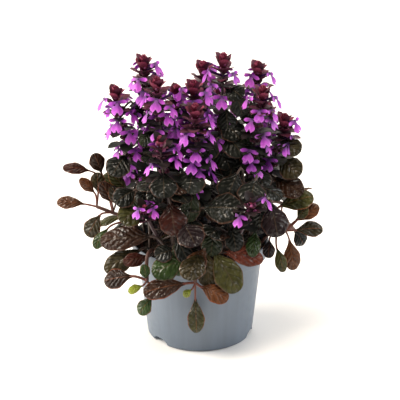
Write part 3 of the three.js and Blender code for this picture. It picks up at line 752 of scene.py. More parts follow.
def innerLeaves():
    leaves = []
    for spike in stems:
        samples = spike["curve"]["samples"]
        ceiling = spike["top"].z + stem["bud"] - spike["tiers"][-1][0] - undergrowth["clear"]
        heights = range(undergrowth["lowest"], math.ceil(ceiling), undergrowth["step"])
        for number, height in enumerate(heights):
            seed = spike["seed"] * 50 + number
            root = min(samples, key=lambda sample: abs(sample.z - height))
            turn = spike["turn"] + number * undergrowth["turnStep"] + undergrowth["sway"] * chance(seed)
            share = undergrowth["shortest"] + undergrowth["vary"] * chance(seed + 0.5)
            length = undergrowth["length"] * share
            rise = undergrowth["tilt"] * (2 * chance(seed + 0.7) - 1)
            # a dark tint, partly painted shade among the stems
            tint = anyOf(shadedInnerTints, seed + 0.3)
            leaf = stemLeaf(root, turn, length, undergrowth["width"], rise, tint)
            if leaf["tip"].xy.length < undergrowth["edge"]:
                leaves.append({**leaf, "stalk": undergrowth["stalk"]})
    return leaves


def whorlBracts():
    leaves = []
    for spike in stems:
        modest = spike["seed"] in modestTips
        for tier, (drop, *_) in enumerate(spike["tiers"]):
            root = stemSpot(spike["curve"], drop + whorlBract["drop"])
            for part in range(whorlBract["count"]):
                seed = spike["seed"] * 90 + tier * 10 + part
                turn = spike["turn"] + tier * whorlBract["tierTurn"] + part * whorlBract["turnStep"]
                turn += whorlBract["sway"] * chance(seed)
                longer = whorlBract["lengthen"] * tier + whorlBract["vary"] * chance(seed + 0.4)
                length = (whorlBract["length"] + longer) * spike["small"]
                rise = whorlBract["rise"] - whorlBract["sink"] * tier
                tint = ("apexDark", "plum", "night")[min(2, tier + modest)]
                leaves.append(stemLeaf(root, turn, length, length * whorlBract["width"], rise, tint))
    return leaves


# Thin closed sheets, the raw shape of blades, bracts and petals

def joinedMesh(name, shells, weld=1e-5):  # shells: points, faces and a UV pair for each point
    points, faces, places = [], [], []
    for shellPoints, shellFaces, shellPlaces in shells:
        faces += [tuple(corner + len(points) for corner in face) for face in shellFaces]
        points += shellPoints
        places += shellPlaces
    mesh = bpy.data.meshes.new(name)
    mesh.from_pydata(points, [], faces)
    layer = mesh.uv_layers.new(name="grain")
    layer.data.foreach_set("uv", [part for loop in mesh.loops for part in places[loop.vertex_index]])
    return finishMesh(mesh, weld)


def sheetShell(columns, rows, spot, thickness):  # u runs from -1 to 1, v from 0 to 1; both sides share a rim
    points, places, faces = [], [], []
    for side in (1, -1):
        corner = {}
        for row in range(rows + 1):
            for column in range(columns + 1):
                rim = row in (0, rows) or column in (0, columns)
                if rim and side < 0:
                    corner[row, column] = above[row, column]
                    continue
                u, v = 2 * column / columns - 1, row / rows
                corner[row, column] = len(points)
                points.append(Vector(spot(u, v)) + up * (0 if rim else side * thickness / 2))
                places.append((column / columns, v))
        for row in range(rows):
            for column in range(columns):
                quad = [corner[row, column], corner[row, column + 1],
                        corner[row + 1, column + 1], corner[row + 1, column]]
                faces.append(quad[::side])
        above = corner
    return points, faces, places


def ringFaces(rings, sides, flipped=False):  # quads between rings of points
    faces = []
    for start in range(0, (rings - 1) * sides, sides):
        for side in range(sides):
            here, ahead = start + side, start + (side + 1) % sides
            quad = (here, ahead, ahead + sides, here + sides)
            faces.append(quad[:1] + quad[:0:-1] if flipped else quad)
    return faces


# Leaf blades: width and length are 1 and heights are real, so that a copy is scaled to its own size

blade = {
    "columns": 14,
    "rows": 20,
    "variants": 6,
    "ease": 1.5,       # how closely the rows stand at the tip
    "thickness": 0.7,
    "neck": 0.15,      # width at the stalk, as a share of the full width
    "arch": 3,
    "cup": 1.5,        # how far the edges droop
    "wave": 0.9,
    "scallop": 0.03,
    "veins": 5,
    "veinSlant": 0.34,
    "quilt": 0.6,      # height of the blisters between veins
    "gutter": 0.5,     # depth of the groove over the midrib
    "swell": 1.0,
    "darkest": 0.75,   # shares of its tint's brightness
    "lighten": 0.5,
}


def bladeMesh(name, columns, rows, seed):
    cup = blade["cup"] * (0.3 + 1.4 * chance(seed * 3))

    def spot(u, v):
        along = 1 - (1 - v) ** blade["ease"]
        full = max(0, math.sin(math.pi * along ** 1.32)) ** (0.86 - 0.42 * along)
        half = math.hypot(full, blade["neck"] * (1 - along)) / 2
        half *= 1 + blade["scallop"] * math.sin(along * 19 + seed * 2 + (1.5 if u > 0 else 0))
        across = abs(u)
        height = 4 * blade["arch"] * along * (1 - along) - cup * u * u * full
        height += blade["wave"] * u * u * math.cos(along * 8 + seed + (1.9 if u > 0 else 0)) * full
        ridge = abs(math.sin(math.pi * blade["veins"] * (along - blade["veinSlant"] * across)))
        cells = 0.25 + 0.75 * abs(math.sin(math.pi * 2.1 * across + along * 7 + seed))
        calm = min(1, across * 4) * (1 - across ** 4) * min(1, 6 * along) * min(1, 8 * (1 - along))
        height += blade["quilt"] * calm * (ridge ** 0.7 * cells - 0.35)
        height -= blade["gutter"] * math.exp(-((u / 0.13) ** 2)) * (1 - along)
        return half * u, along, height * mm

    return joinedMesh(name, [sheetShell(columns, rows, spot, blade["thickness"] * mm)])


# Bracts: like blades, but cupped upwards, pointed and plain

bract = {
    "columns": 4,
    "rows": 5,
    "variants": 3,
    "ease": 1.3,
    "thickness": 0.6,
    "neck": 0.34,
    "arch": 2.6,
    "cup": 1.3,
    "wave": 0.5,
    "relief": 0.9,     # share of these heights that a copy has
    "swell": 1.0,
}


def bractMesh(index):
    def spot(u, v):
        along = 1 - (1 - v) ** bract["ease"]
        full = max(0, math.sin(math.pi * along ** 1.15)) ** 0.62
        half = math.hypot(full, bract["neck"] * (1 - along)) / 2
        height = bract["arch"] * along * (1 - along) + bract["cup"] * u * u * full
        height += bract["wave"] * u * math.cos(along * 6 + index * 2)
        return half * u, along, height * mm

    sheet = sheetShell(bract["columns"], bract["rows"], spot, bract["thickness"] * mm)
    return joinedMesh(f"bract{index}", [sheet])


# Florets: the throat is at the origin, the lip hangs down in -Y and faces +Z

petal = {
    "variants": 5,
    "thickness": 0.4,
    "ease": 1.3,
    "claw": 1.5,
    "lipEnd": 11,
    "notch": 3.1,
    "lipHalf": 5.1,
    "armReach": 7.6,
    "armHalf": 1.4,
    "armDroop": 9,     # how far the side lobes hang below level
    "tube": 11.9,
    "tubeRadius": 1.4,
    "tubeEnd": 0.55,   # width of the tube at its foot, as a share
    "swell": 1.0,
    # darkest at the throat and on the tube: partly their own deep violet, partly painted shade
    "colours": [(0.0, "#45125E"), (0.35, "#8A289E"), (0.65, "#BC48CC"), (1.0, "#D278DF")],
    "darkest": 0.81,   # share of those colours' brightness
    "lighten": 0.2,
    "red": 1.07,
    "violet": 0.19,    # how much less red the most violet floret has
    "green": 0.93,
}


def lipSpot(seed):
    def spot(u, v):
        way = 1 - (1 - v) ** petal["ease"]
        spread = 1 / (1 + math.exp(-(way - 0.53) * 13))
        half = (petal["claw"] + (petal["lipHalf"] - petal["claw"]) * spread) * (1 - 0.2 * way ** 8)
        end = petal["lipEnd"] - petal["notch"] * math.exp(-((u / 0.3) ** 2)) - 2.2 * abs(u) ** 5
        height = 0.8 * math.sin(math.pi * way) + 1.8 * way * way - 1.1 * u * u * way
        height += 0.5 * way * math.cos(3 * u + seed * 2.1)
        return -half * u * mm, (0.2 - (end + 0.2) * way) * mm, height * mm

    return spot


def armSpot(side, seed):
    droop = -(petal["armDroop"] + 30 * (chance(seed * 13 + side) - 0.5)) * deg

    def spot(u, v):
        way = 1 - (1 - v) ** petal["ease"]
        swell = 0.5 + 0.62 * math.sin(math.pi * way ** 1.5) + 0.2 * way
        half = petal["armHalf"] * swell * (1 - 0.5 * way ** 9)
        reach = 0.5 + (petal["armReach"] - 0.5) * way
        x = reach * math.cos(droop) + half * u * math.sin(droop) * side
        y = 0.2 + reach * math.sin(droop) - half * u * math.cos(droop) * side
        return side * x * mm, y * mm, (0.5 - 1.3 * way + 0.6 * math.sin(3 * way + seed)) * mm

    return spot


def tubeShell(sides, rings):  # rings: radius and depth behind the throat
    points, places = [], []
    for ring, (radius, depth) in enumerate(rings):
        for side in range(sides):
            out = heading(side / sides * 360) * radius
            points.append((out + Vector((0, 0.03 * depth, -depth))) * mm)
            places.append((side / sides, -0.5 * ring))
    ends = [tuple(range(sides)), tuple(reversed(range(len(points) - sides, len(points))))]
    return points, ringFaces(len(rings), sides, flipped=True) + ends, places


def floretMesh(index):
    thickness = petal["thickness"] * mm
    shells = [sheetShell(4, 4, lipSpot(index + 1), thickness)]
    shells += [sheetShell(2, 3, armSpot(side, index + 1), thickness) for side in (1, -1)]
    radius = petal["tubeRadius"]
    shells.append(tubeShell(5, [(radius, -0.1), (radius * petal["tubeEnd"], petal["tube"])]))
    return joinedMesh(f"floret{index}", shells)


def podMesh(index, sides=6, rings=4):  # closed bud or calyx, its axis along Y and one unit in radius
    points, places = [], []
    for ring in range(rings + 1):
        tall = ring / rings * math.pi
        for side in range(sides):
            angle = side / sides * 2 * math.pi
            radius = math.sin(tall) * (1 + 0.12 * math.cos(angle * 3 + index))
            points.append(Vector((math.cos(angle) * radius, -math.cos(tall), -math.sin(angle) * radius)) * mm)
            places.append((side / sides, ring / rings))
    return joinedMesh(f"pod{index}", [(points, ringFaces(rings + 1, sides), places)], 1e-6)


# Geometry Nodes: copies grown on points, skins along paths, and crumbs over a face

def geometryTree(name, inputs):
    tree = bpy.data.node_groups.new(name, "GeometryNodeTree")
    for label, kind in {"Geometry": "Geometry", **inputs, "Material": "Material"}.items():
        tree.interface.new_socket(label, in_out="INPUT", socket_type="NodeSocket" + kind)
    tree.interface.new_socket("Geometry", in_out="OUTPUT", socket_type="NodeSocketGeometry")
    add = partial(addNode, tree)
    return tree, add, add("NodeGroupInput").outputs


def closeTree(tree, add, geometry, given):
    realized = add("GeometryNodeRealizeInstances", {"Geometry": geometry})
    finished = add("GeometryNodeSetMaterial", {"Geometry": realized, "Material": given["Material"]})
    add("NodeGroupOutput", {"Geometry": finished})
    return tree


def addCopies(add, given, inputs):  # one of the shapes on each point
    shapes = add("GeometryNodeCollectionInfo", {
        "Collection": given["Shapes"], "Separate Children": True, "Reset Children": True})
    return add("GeometryNodeInstanceOnPoints", {"Instance": shapes, "Pick Instance": True, **inputs})


def growTree():
    tree, add, given = geometryTree("growOnPoints", {"Shapes": "Collection", "Swell": "Float"})
    which = add("GeometryNodeInputNamedAttribute", {"Name": "shape"}, data_type="INT")
    turned = add("GeometryNodeInputNamedAttribute", {"Name": "turn"}, data_type="QUATERNION")
    size = add("GeometryNodeInputNamedAttribute", {"Name": "size"}, data_type="FLOAT_VECTOR")
    swollen = add("ShaderNodeVectorMath", {0: size, "Scale": given["Swell"]}, operation="SCALE")
    copies = addCopies(add, given, {
        "Points": given["Geometry"], "Instance Index": which, "Rotation": turned, "Scale": swollen})
    return closeTree(tree, add, copies, given)


def skinTree():
    tree, add, given = geometryTree("skinAlongPaths", {"Sides": "Int", "Swell": "Float", "Round": "Bool"})
    paths = add("GeometryNodeMeshToCurve", {"Mesh": given["Geometry"]})
    thick = add("GeometryNodeInputNamedAttribute", {"Name": "thickness"}, data_type="FLOAT")
    radius = add("ShaderNodeMath", {0: thick, 1: given["Swell"]}, operation="MULTIPLY")
    profile = add("GeometryNodeCurvePrimitiveCircle", {"Resolution": given["Sides"], "Radius": 1.0})
    tube = add("GeometryNodeCurveToMesh", {
        "Curve": paths, "Profile Curve": profile, "Scale": radius, "Fill Caps": True})
    smooth = add("GeometryNodeSetShadeSmooth", {"Geometry": tube, "Shade Smooth": given["Round"]})
    return closeTree(tree, add, smooth, given)


def crumbTree():
    tree, add, given = geometryTree("crumbsOverFace", {
        "Shapes": "Collection", "Spacing": "Float", "Density": "Float", "Smallest": "Float",
        "Largest": "Float", "Seed": "Int"})
    spread = add("GeometryNodeDistributePointsOnFaces", {
        "Mesh": given["Geometry"],
        "Distance Min": given["Spacing"],
        "Density Max": given["Density"],
        "Seed": given["Seed"],
    }, distribute_method="POISSON")
    tumble = add("FunctionNodeRandomValue", {
        0: (0, 0, 0), 1: (2 * math.pi,) * 3, "Seed": given["Seed"]}, data_type="FLOAT_VECTOR")
    size = add("FunctionNodeRandomValue", {
        2: given["Smallest"], 3: given["Largest"], "Seed": given["Seed"]}, data_type="FLOAT")
    copies = addCopies(add, given, {"Points": spread, "Rotation": tumble, "Scale": size})
    return closeTree(tree, add, copies, given)


grow, skin, scatter = growTree(), skinTree(), crumbTree()


def shapeCollection(name, meshes):  # unlinked from the scene, so that only their copies show
    shelf = bpy.data.collections.new(name)
    for mesh in meshes:
        shelf.objects.link(bpy.data.objects.new(mesh.name, mesh))
    return shelf


def growPiece(name, mesh, tree, values, nodes):  # the tree's result as a plain mesh
    source = bpy.data.objects.new(mesh.name, mesh)
    modifier = source.modifiers.new(tree.name, "NODES")
    modifier.node_group = tree
    for socket in tree.interface.items_tree:
        if socket.in_out == "INPUT" and socket.name in values:
            modifier[socket.identifier] = values[socket.name]
    scene.collection.objects.link(source)
    depsgraph = bpy.context.evaluated_depsgraph_get()
    result = bpy.data.meshes.new_from_object(
        source.evaluated_get(depsgraph), preserve_all_data_layers=True, depsgraph=depsgraph)
    result.name = name
    source.modifiers.clear()
    bpy.data.objects.remove(source)
    dress(addObject(name, result), nodes)


def turnTo(lengthwise, face):  # turn of a copy: X across, Y from stalk to tip, Z up out of its face
    along = lengthwise.normalized()
    side = along.cross(face).normalized()
    return Matrix((side, along, side.cross(along))).transposed().to_quaternion()


def copyOf(place, turn, size, shapes, seed, colour):  # one point with all that its copy needs
    return place, turn, size, (int(chance(seed) * len(shapes.objects)),), (*colour, 1)


def pointMesh(name, points, edges, layers):  # layers: name, kind and field of an attribute, and its values
    mesh = bpy.data.meshes.new(name)
    mesh.from_pydata([point * mm for point in points], edges, [])
    for key, kind, field, values in layers:
        flat = [part for value in values for part in value]
        mesh.attributes.new(key, kind, "POINT").data.foreach_set(field, flat)
    return mesh


def shaded(tint, shade):
    return [part * shade for part in hexColour(tints[tint])[:3]]


def growCopies(name, copies, shapes, sizes, material, nodes):
    places, turns, scales, picks, colours = zip(*copies)
    mesh = pointMesh(name, places, [], [
        ("turn", "QUATERNION", "value", turns),
        ("size", "FLOAT_VECTOR", "vector", scales),
        ("shape", "INT", "value", picks),
        ("tint", "FLOAT_COLOR", "color", colours),
    ])
    values = {"Shapes": shapes, "Swell": sizes["swell"], "Material": material}
    growPiece(name, mesh, grow, values, nodes)


def growLeaves(name, leaves, shapes, sizes, material, nodes, seed, relief=None):
    copies = []
    for number, leaf in enumerate(leaves, seed):
        reach = leaf["tip"] - leaf["base"]
        size = (leaf["width"] * mm, reach.length * mm, relief or leaf["arch"] / blade["arch"])
        colour = shaded(leaf["tint"], blade["darkest"] + blade["lighten"] * chance(number * 7))
        copies.append(copyOf(leaf["base"], turnTo(reach, leaf["face"]), size, shapes, number, colour))
    growCopies(name, copies, shapes, sizes, material, nodes)


def growSkins(name, paths, sizes, material, nodes):  # paths: rows of place and radius, and a colour
    points, edges, radii, colours = [], [], [], []
    for rows, colour in paths:
        edges += [(len(points) + step, len(points) + step + 1) for step in range(len(rows) - 1)]
        points += [place for place, _ in rows]
        radii += [(radius * mm,) for _, radius in rows]
        colours += [hexColour(colour)] * len(rows)
    mesh = pointMesh(name, points, edges, [
        ("thickness", "FLOAT", "value", radii),
        ("tint", "FLOAT_COLOR", "color", colours),
    ])
    sides = sizes["sides"]
    values = {"Sides": sides, "Swell": sizes["swell"], "Round": sides > 4, "Material": material}
    growPiece(name, mesh, skin, values, nodes)


# Pot

pot = {
    "segments": 300,
    "height": 90,
    "footRadius": 47.4,
    "footRound": 1.5,
    "shoulderHeight": 76,
    "shoulderRadius": 55.3,
    "shoulderStep": 4.9,
    "rimFlare": 0.6,
    "wall": 1.4,
    "notchTurns": (-139, -18, 103),
    "notchHeight": 5,
    "notchFoot": 19.5,
    "notchTop": 12,
    "notchDepth": 6.5,
    "notchCrown": 1.6,     # how far the arch of a notch falls to its sides
    "fineBelow": 7.5,      # below this and beyond the next, rows stand close together for the notches
    "fineBeyond": 37,
    "fineRow": 0.6,
    "row": 9,
    "seamTurn": -118.8,
    "seam": 0.15,
    "dark": "#5C6672",
    "light": "#6C7887",
}


def roundedProfile(corners, steps=4):  # corners: radius, height and how far the rounding reaches
    rows = []
    for index, (radius, height, reach) in enumerate(corners):
        here = Vector((radius, height))
        if reach == 0:
            rows.append(here)
            continue
        before, after = (Vector(corners[index + way][:2]) - here for way in (-1, 1))
        start = here + before.normalized() * reach
        end = here + after.normalized() * reach
        rows += [bezier(start, here, end, step / steps) for step in range(steps + 1)]
    return rows


def filled(rows):  # extra rows, close together where the drain notches are
    dense = [rows[0]]
    for row in rows[1:]:
        start = dense[-1]
        low = max(row.y, start.y) < pot["fineBelow"] + 0.1
        fine = low and min(row.x, start.x) > pot["fineBeyond"] - 0.1
        count = max(1, math.ceil((row - start).length / pot["fineRow" if fine else "row"]))
        dense += [start.lerp(row, step / count) for step in range(1, count + 1)]
    return dense


def potRows():  # up the outside and down the inside
    foot, shoulder, wall = pot["footRadius"], pot["shoulderRadius"], pot["wall"]
    ledge, top, low = pot["shoulderHeight"], pot["height"], pot["fineBelow"]
    rim = shoulder + pot["shoulderStep"]
    lip = rim + pot["rimFlare"]
    nearFoot = foot + (shoulder - foot) / ledge * low
    outside = [
        (0, 0, 0), (pot["fineBeyond"], 0, 0), (foot, 0, pot["footRound"]), (nearFoot, low, 0),
        (shoulder, ledge, 0.6), (rim, ledge + 0.3, 0.8), (lip, top, 0.6),
    ]
    inside = [
        (lip - wall, top, 0.6), (rim - wall, ledge + wall, 0.5), (shoulder - wall, ledge + wall - 0.4, 0.5),
        (nearFoot - wall, low, 0), (foot - wall, wall, 1.5), (pot["fineBeyond"], wall, 0), (0, wall, 0),
    ]
    return filled(roundedProfile(outside + inside))[1:-1]


def smoothStep(value, low=-0.3, high=0.7):
    share = min(1, max(0, (value - low) / (high - low)))
    return share * share * (3 - 2 * share)


def notchShare(turn, height, margin):  # 1 well inside a drain notch, 0 outside it
    slope = (pot["notchFoot"] - pot["notchTop"]) / 2 / (pot["notchHeight"] + 1)
    half = pot["notchFoot"] / 2 + margin - (height + 1) * slope
    shares = []
    for centre in pot["notchTurns"]:
        aside = abs((turn - centre + 180) % 360 - 180) * deg * pot["footRadius"]
        crowned = pot["notchHeight"] + margin - pot["notchCrown"] * (aside / half) ** 4
        shares.append(smoothStep(half - aside) * smoothStep(crowned - height))
    return max(shares)


def potMaterial():
    # Injection-moulded polypropylene: even satin, faint upright flow bands and a fine mould grain
    material, add, place = startMaterial("mouldedPolypropylene")
    upright = add("ShaderNodeMapping", {"Vector": place, "Scale": (1, 1, 0.04)})
    bands = add("ShaderNodeTexNoise", {"Vector": upright, "Scale": perMm(9), "Detail": 3.0})
    colour = add("ShaderNodeMix", {  # sockets 6 and 7 are the two colours of a mix
        "Factor": bands, 6: hexColour(pot["dark"]), 7: hexColour(pot["light"])}, data_type="RGBA")
    grain = add("ShaderNodeTexNoise", {"Vector": place, "Scale": perMm(0.5), "Detail": 4.0})
    scuffs = add("ShaderNodeTexNoise", {"Vector": place, "Scale": perMm(6), "Detail": 6.0})
    gloss = add("ShaderNodeMapRange", {"Value": scuffs, **limits(0.35, 0.7, 0.42, 0.55)})
    relief = add("ShaderNodeBump", {"Height": grain, "Strength": 0.12, "Distance": 0.1 * mm})
    return finishMaterial(material, {"Base Color": colour, "Roughness": gloss, "Normal": relief, "IOR": 1.49})


def makePot():
    count, low = pot["segments"], pot["fineBelow"]
    rows = potRows()
    topRow = max(range(len(rows)), key=lambda index: rows[index].y)
    points = []
    for index, (reach, height) in enumerate(rows):
        margin = pot["wall"] if index > topRow else 0  # inside the wall
        limit = pot["footRadius"] - pot["notchDepth"] - margin
        for step in range(count):
            turn = step * 360 / count - 180
            radius = reach
            if reach > limit and height < low + 0.5:
                radius -= (reach - limit) * notchShare(turn, height, margin)
            if not margin and height > low and abs(turn - pot["seamTurn"]) < 0.1:
                radius += pot["seam"]
            points.append(heading(turn) * radius + up * height)
    faces = ringFaces(len(rows), count)
    last = len(points) - count
    bottom = len(points)
    for side in range(count):
        ahead = (side + 1) % count
        faces += [(bottom, ahead, side), (bottom + 1, last + side, last + ahead)]
    points += [Vector((0, 0, 0)), up * pot["wall"]]
    dress(meshPiece("nurseryPot", points, faces, potMaterial(), sharpAngle=40), ["pot"])


makePot()


# Soil

soil = {
    "surface": 80,
    "rise": 1.6,           # how much higher it lies in the middle
    "lump": 0.45,
    "radius": 58.3,
    "wall": ((54.7, 74), (46.2, 8)),   # radius and height of the rings below the surface
    "rings": 26,
    "sides": 72,
    "crumbVariants": 3,
    "crumbSides": 5,
    "crumbRings": 3,
    "crumbShare": 0.7,     # least radius of a crumb's corner, and how much more it can be
    "crumbVary": 0.6,
    "crumbSmallest": 0.5,
    "crumbLargest": 1.3,
    "crumbSpacing": 1.9,
    "crumbDensity": 3e5,
    "crumbSeed": 11,
}


def soilMaterial():
    # Damp peat compost: dark, matt and crumbly, with paler fibres
    material, add, place = startMaterial("peatCompost")
    crumbs = add("ShaderNodeTexNoise", {"Vector": place, "Scale": perMm(2.5), "Detail": 6.0})
    colour = add("ShaderNodeValToRGB", {"Fac": crumbs})
    setRamp(colour, [(0.35, "#17110D"), (0.75, "#4A3626")])
    relief = add("ShaderNodeBump", {"Height": crumbs, "Strength": 0.8, "Distance": 0.6 * mm})
    return finishMaterial(material, {"Base Color": colour, "Normal": relief, "Roughness": 0.95})


def crumbMesh(index):
    mesh = podMesh(10 + index, soil["crumbSides"], soil["crumbRings"])
    for vertex in mesh.vertices:
        vertex.co *= soil["crumbShare"] + soil["crumbVary"] * chance(vertex.index + index * 31)
    return mesh


def makeSoil(material):
    rings, sides = soil["rings"], soil["sides"]
    points = []
    for ring in range(rings + 1):
        for side in range(sides):
            spot = heading(side / sides * 360) * (soil["radius"] * ring / rings)
            x, y = spot.xy
            lump = math.sin(x * 0.7 + 1) * math.cos(y * 0.6) + 0.6 * math.sin(x * 1.9 + y * 1.3)
            height = soil["surface"] + soil["rise"] * (1 - ring / rings) + soil["lump"] * lump
            points.append(spot + up * height)
    for radius, height in soil["wall"]:
        points += [heading(side / sides * 360) * radius + up * height for side in range(sides)]
    faces = ringFaces(rings + 1 + len(soil["wall"]), sides, flipped=True)
    bottom = tuple(reversed(range(len(points) - sides, len(points))))
    dress(meshPiece("compost", points, faces + [bottom], material, 1e-6), ["potting_soil"])
    shapes = shapeCollection("crumbShapes", [crumbMesh(index) for index in range(soil["crumbVariants"])])
    top = bpy.data.meshes.new("compostTop")
    top.from_pydata([point * mm for point in points], [], faces[:rings * sides])
    growPiece("compostCrumbs", top, scatter, {
        "Shapes": shapes,
        "Spacing": soil["crumbSpacing"] * mm,
        "Density": soil["crumbDensity"],
        "Smallest": soil["crumbSmallest"],
        "Largest": soil["crumbLargest"],
        "Seed": soil["crumbSeed"],
        "Material": material,
    }, ["potting_soil"])


makeSoil(soilMaterial())


# Leaves

cuticle = {
    # painted shade: the sunken veins are darkened in colour by this share
    "veinPaintedShade": 0.45,     # how dark the sunken veins are, as a share of the blade's colour
    "cell": 3.2,           # width of a blister
    "wander": 0.12,        # how far the side veins stray
    "relief": 1.0,
    "specular": 0.1,
    "coat": 0.5,
}


def cuticleMaterial(name, marginAndGlint, midrib, roughness):
    # Waxy cuticle over a netted blade: near black, wet-bright on every blister, darkened along its sunken
    # veins by painted shade, with a fine pale edge that is partly its own margin colour and partly a painted
    # highlight
    material, add, place, tint, grain = startTinted(name)
    aside = add("ShaderNodeMath", {0: grain["X"], 1: 2.0, 2: -1.0}, operation="MULTIPLY_ADD")
    across = add("ShaderNodeMath", {0: aside}, operation="ABSOLUTE")
    left = add("ShaderNodeMath", {0: 1.0, 1: grain["Y"]}, operation="SUBTRACT")
    eased = add("ShaderNodeMath", {0: left, 1: blade["ease"]}, operation="POWER")
    along = add("ShaderNodeMath", {0: 1.0, 1: eased}, operation="SUBTRACT")
    slanted = add("ShaderNodeMath", {0: across, 1: -blade["veinSlant"], 2: along}, operation="MULTIPLY_ADD")
    wander = add("ShaderNodeTexNoise", {"Vector": place, "Scale": perMm(6), "Detail": 3.0})
    phase = add("ShaderNodeMath", {0: wander, 1: cuticle["wander"], 2: slanted}, operation="MULTIPLY_ADD")
    angle = add("ShaderNodeMath", {0: phase, 1: math.pi * blade["veins"]}, operation="MULTIPLY")
    wave = add("ShaderNodeMath", {0: angle}, operation="SINE")
    bulge = add("ShaderNodeMath", {0: wave}, operation="ABSOLUTE")
    # painted shade along the sunken side veins, which leaves the blisters between them lighter
    veinShadeMask = add("ShaderNodeMapRange", {"Value": bulge, **limits(0.0, 0.3, 1.0, 0.0)})
    sunken = add("ShaderNodeMath", {
        0: veinShadeMask, 1: cuticle["veinPaintedShade"] - 1, 2: 1.0}, operation="MULTIPLY_ADD")
    mottle = add("ShaderNodeTexNoise", {"Vector": place, "Scale": perMm(7), "Detail": 4.0})
    shade = add("ShaderNodeMapRange", {"Value": mottle, **limits(0.3, 0.7, 0.6, 1.5)})
    veined = add("ShaderNodeMath", {0: shade, 1: sunken}, operation="MULTIPLY")
    body = add("ShaderNodeVectorMath", {0: tint, "Scale": veined}, operation="SCALE")
    middle = add("ShaderNodeMapRange", {"Value": across, **limits(0.0, 0.06, 0.6, 0.0)})
    midribbed = add("ShaderNodeMix", {"Factor": middle, 6: body, 7: hexColour(midrib)}, data_type="RGBA")
    # the pale edge: partly the margin's own colour, partly a painted highlight where the edge catches the
    # light
    marginAndGlintMask = add("ShaderNodeMapRange", {"Value": across, **limits(0.88, 1.0, 0.0, 0.7)})
    withMarginAndGlint = add("ShaderNodeMix", {"Factor": marginAndGlintMask, 6: midribbed, 7: hexColour(marginAndGlint)}, data_type="RGBA")
    cells = add("ShaderNodeTexVoronoi", {
        "Vector": place, "Scale": perMm(cuticle["cell"]), "Smoothness": 0.7}, feature="SMOOTH_F1")
    rounded = add("ShaderNodeMath", {0: bulge, 1: 0.75}, operation="MULTIPLY")
    blister = add("ShaderNodeMath", {0: cells, 1: -1.2, 2: rounded}, operation="MULTIPLY_ADD")
    relief = add("ShaderNodeBump", {"Height": blister, "Strength": 0.9, "Distance": cuticle["relief"] * mm})
    patches = add("ShaderNodeTexNoise", {"Vector": place, "Scale": perMm(9), "Detail": 2.0})
    wax = add("ShaderNodeMapRange", {"Value": patches, **limits(0.44, 0.64, 0.05, cuticle["coat"])})
    gloss = add("ShaderNodeMapRange", {
        "Value": mottle, **limits(0.0, 1.0, roughness - 0.08, roughness + 0.12)})
    return finishMaterial(material, {
        "Base Color": withMarginAndGlint,
        "Roughness": gloss,
        "Normal": relief,
        "Coat Normal": relief,
        "Coat Weight": wax,
        "Coat Roughness": 0.14,
        "Specular IOR Level": cuticle["specular"],
    })


def unitBlades(word, count, columns, rows, firstSeed):
    return shapeCollection(word + "Shapes", [
        bladeMesh(f"{word}{index}", columns, rows, firstSeed + index) for index in range(count)])


addTucked()
inner = innerLeaves()
bladeShapes = unitBlades("blade", blade["variants"], blade["columns"], blade["rows"], 1)
innerShapes = unitBlades("inner", undergrowth["variants"], undergrowth["columns"], undergrowth["rows"], 20)
# the first colour of each is the pale edge, partly its own margin colour and partly a painted highlight
leafSkin = cuticleMaterial("waxyBronzeCuticle", "#5E4034", "#4E4030", 0.36)
runnerSkin = cuticleMaterial("waxyRunnerCuticle", "#8A4A30", "#7A4A30", 0.34)
growLeaves("rosetteBlades", blades, bladeShapes, blade, leafSkin, rosetteNodes + spikeNodes, 100)
growLeaves("innerBlades", inner, innerShapes, blade, leafSkin, spikeNodes, 200)
growLeaves("runnerBlades", runnerBlades, bladeShapes, blade, runnerSkin, runnerNodes, 300)


# Stems, stalks and stolons

stalk = {
    "radius": 1.25,
    "taper": 0.1,
    "steps": 6,
    "bend": 0.3,                   # how far before the blade the stalk lies in its line, as a share
    "midrib": (0.12, 0.3, 0.55),   # where the midrib under the blade has its rings, as shares
    "midribRadius": 0.85,
    "under": 1.2,                  # how far the midrib lies below the blade's middle at the stalk
    "closer": 0.3,                 # how much of that it makes up by the tip
    "sides": 6,
    "swell": 1.0,
    "colour": "#3C2A22",
    "runnerColour": "#5E2C20",
}
stolon = {
    "radius": 1.7,
    "endRadius": 1.6,
    "tip": 2,
    "tipRadius": 0.6,
    "steps": 6,
    "buried": 9,
    "sides": 6,
    "swell": 1.0,
    "colour": "#4A281F",
}


def skinMaterial(name, sheen):
    # Softly hairy skin of a young stem: matt, a little paler towards its silhouette
    material, add, place = startMaterial(name)
    tint = add("ShaderNodeAttribute", attribute_name="tint")
    upright = add("ShaderNodeMapping", {"Vector": place, "Scale": (1, 1, 0.15)})
    streaks = add("ShaderNodeTexNoise", {"Vector": upright, "Scale": perMm(1.2), "Detail": 3.0})
    shade = add("ShaderNodeMapRange", {"Value": streaks, **limits(0.3, 0.7, 0.7, 1.4)})
    body = add("ShaderNodeVectorMath", {0: tint, "Scale": shade}, operation="SCALE")
    relief = add("ShaderNodeBump", {"Height": streaks, "Strength": 0.4, "Distance": 0.2 * mm})
    return finishMaterial(material, {
        "Base Color": body,
        "Normal": relief,
        "Roughness": 0.55,
        "Sheen Weight": sheen,
        "Sheen Roughness": 0.4,
    })


def stemPaths():
    paths, count = [], stem["samples"]
    for spike in stems:
        samples = spike["curve"]["samples"]
        rows = [(samples[0] - up * stem["buried"], stem["radius"])]
        for step in range(0, count + 1, stem["ringEvery"]):
            rows.append((samples[step], stem["radius"] * (1 - stem["taper"] * step / count) * stem["slim"]))
        rows.append((spike["top"] + up * stem["bud"] * stem["tipShare"], stem["tipRadius"]))
        paths.append((rows, stem["colour"]))
    return paths


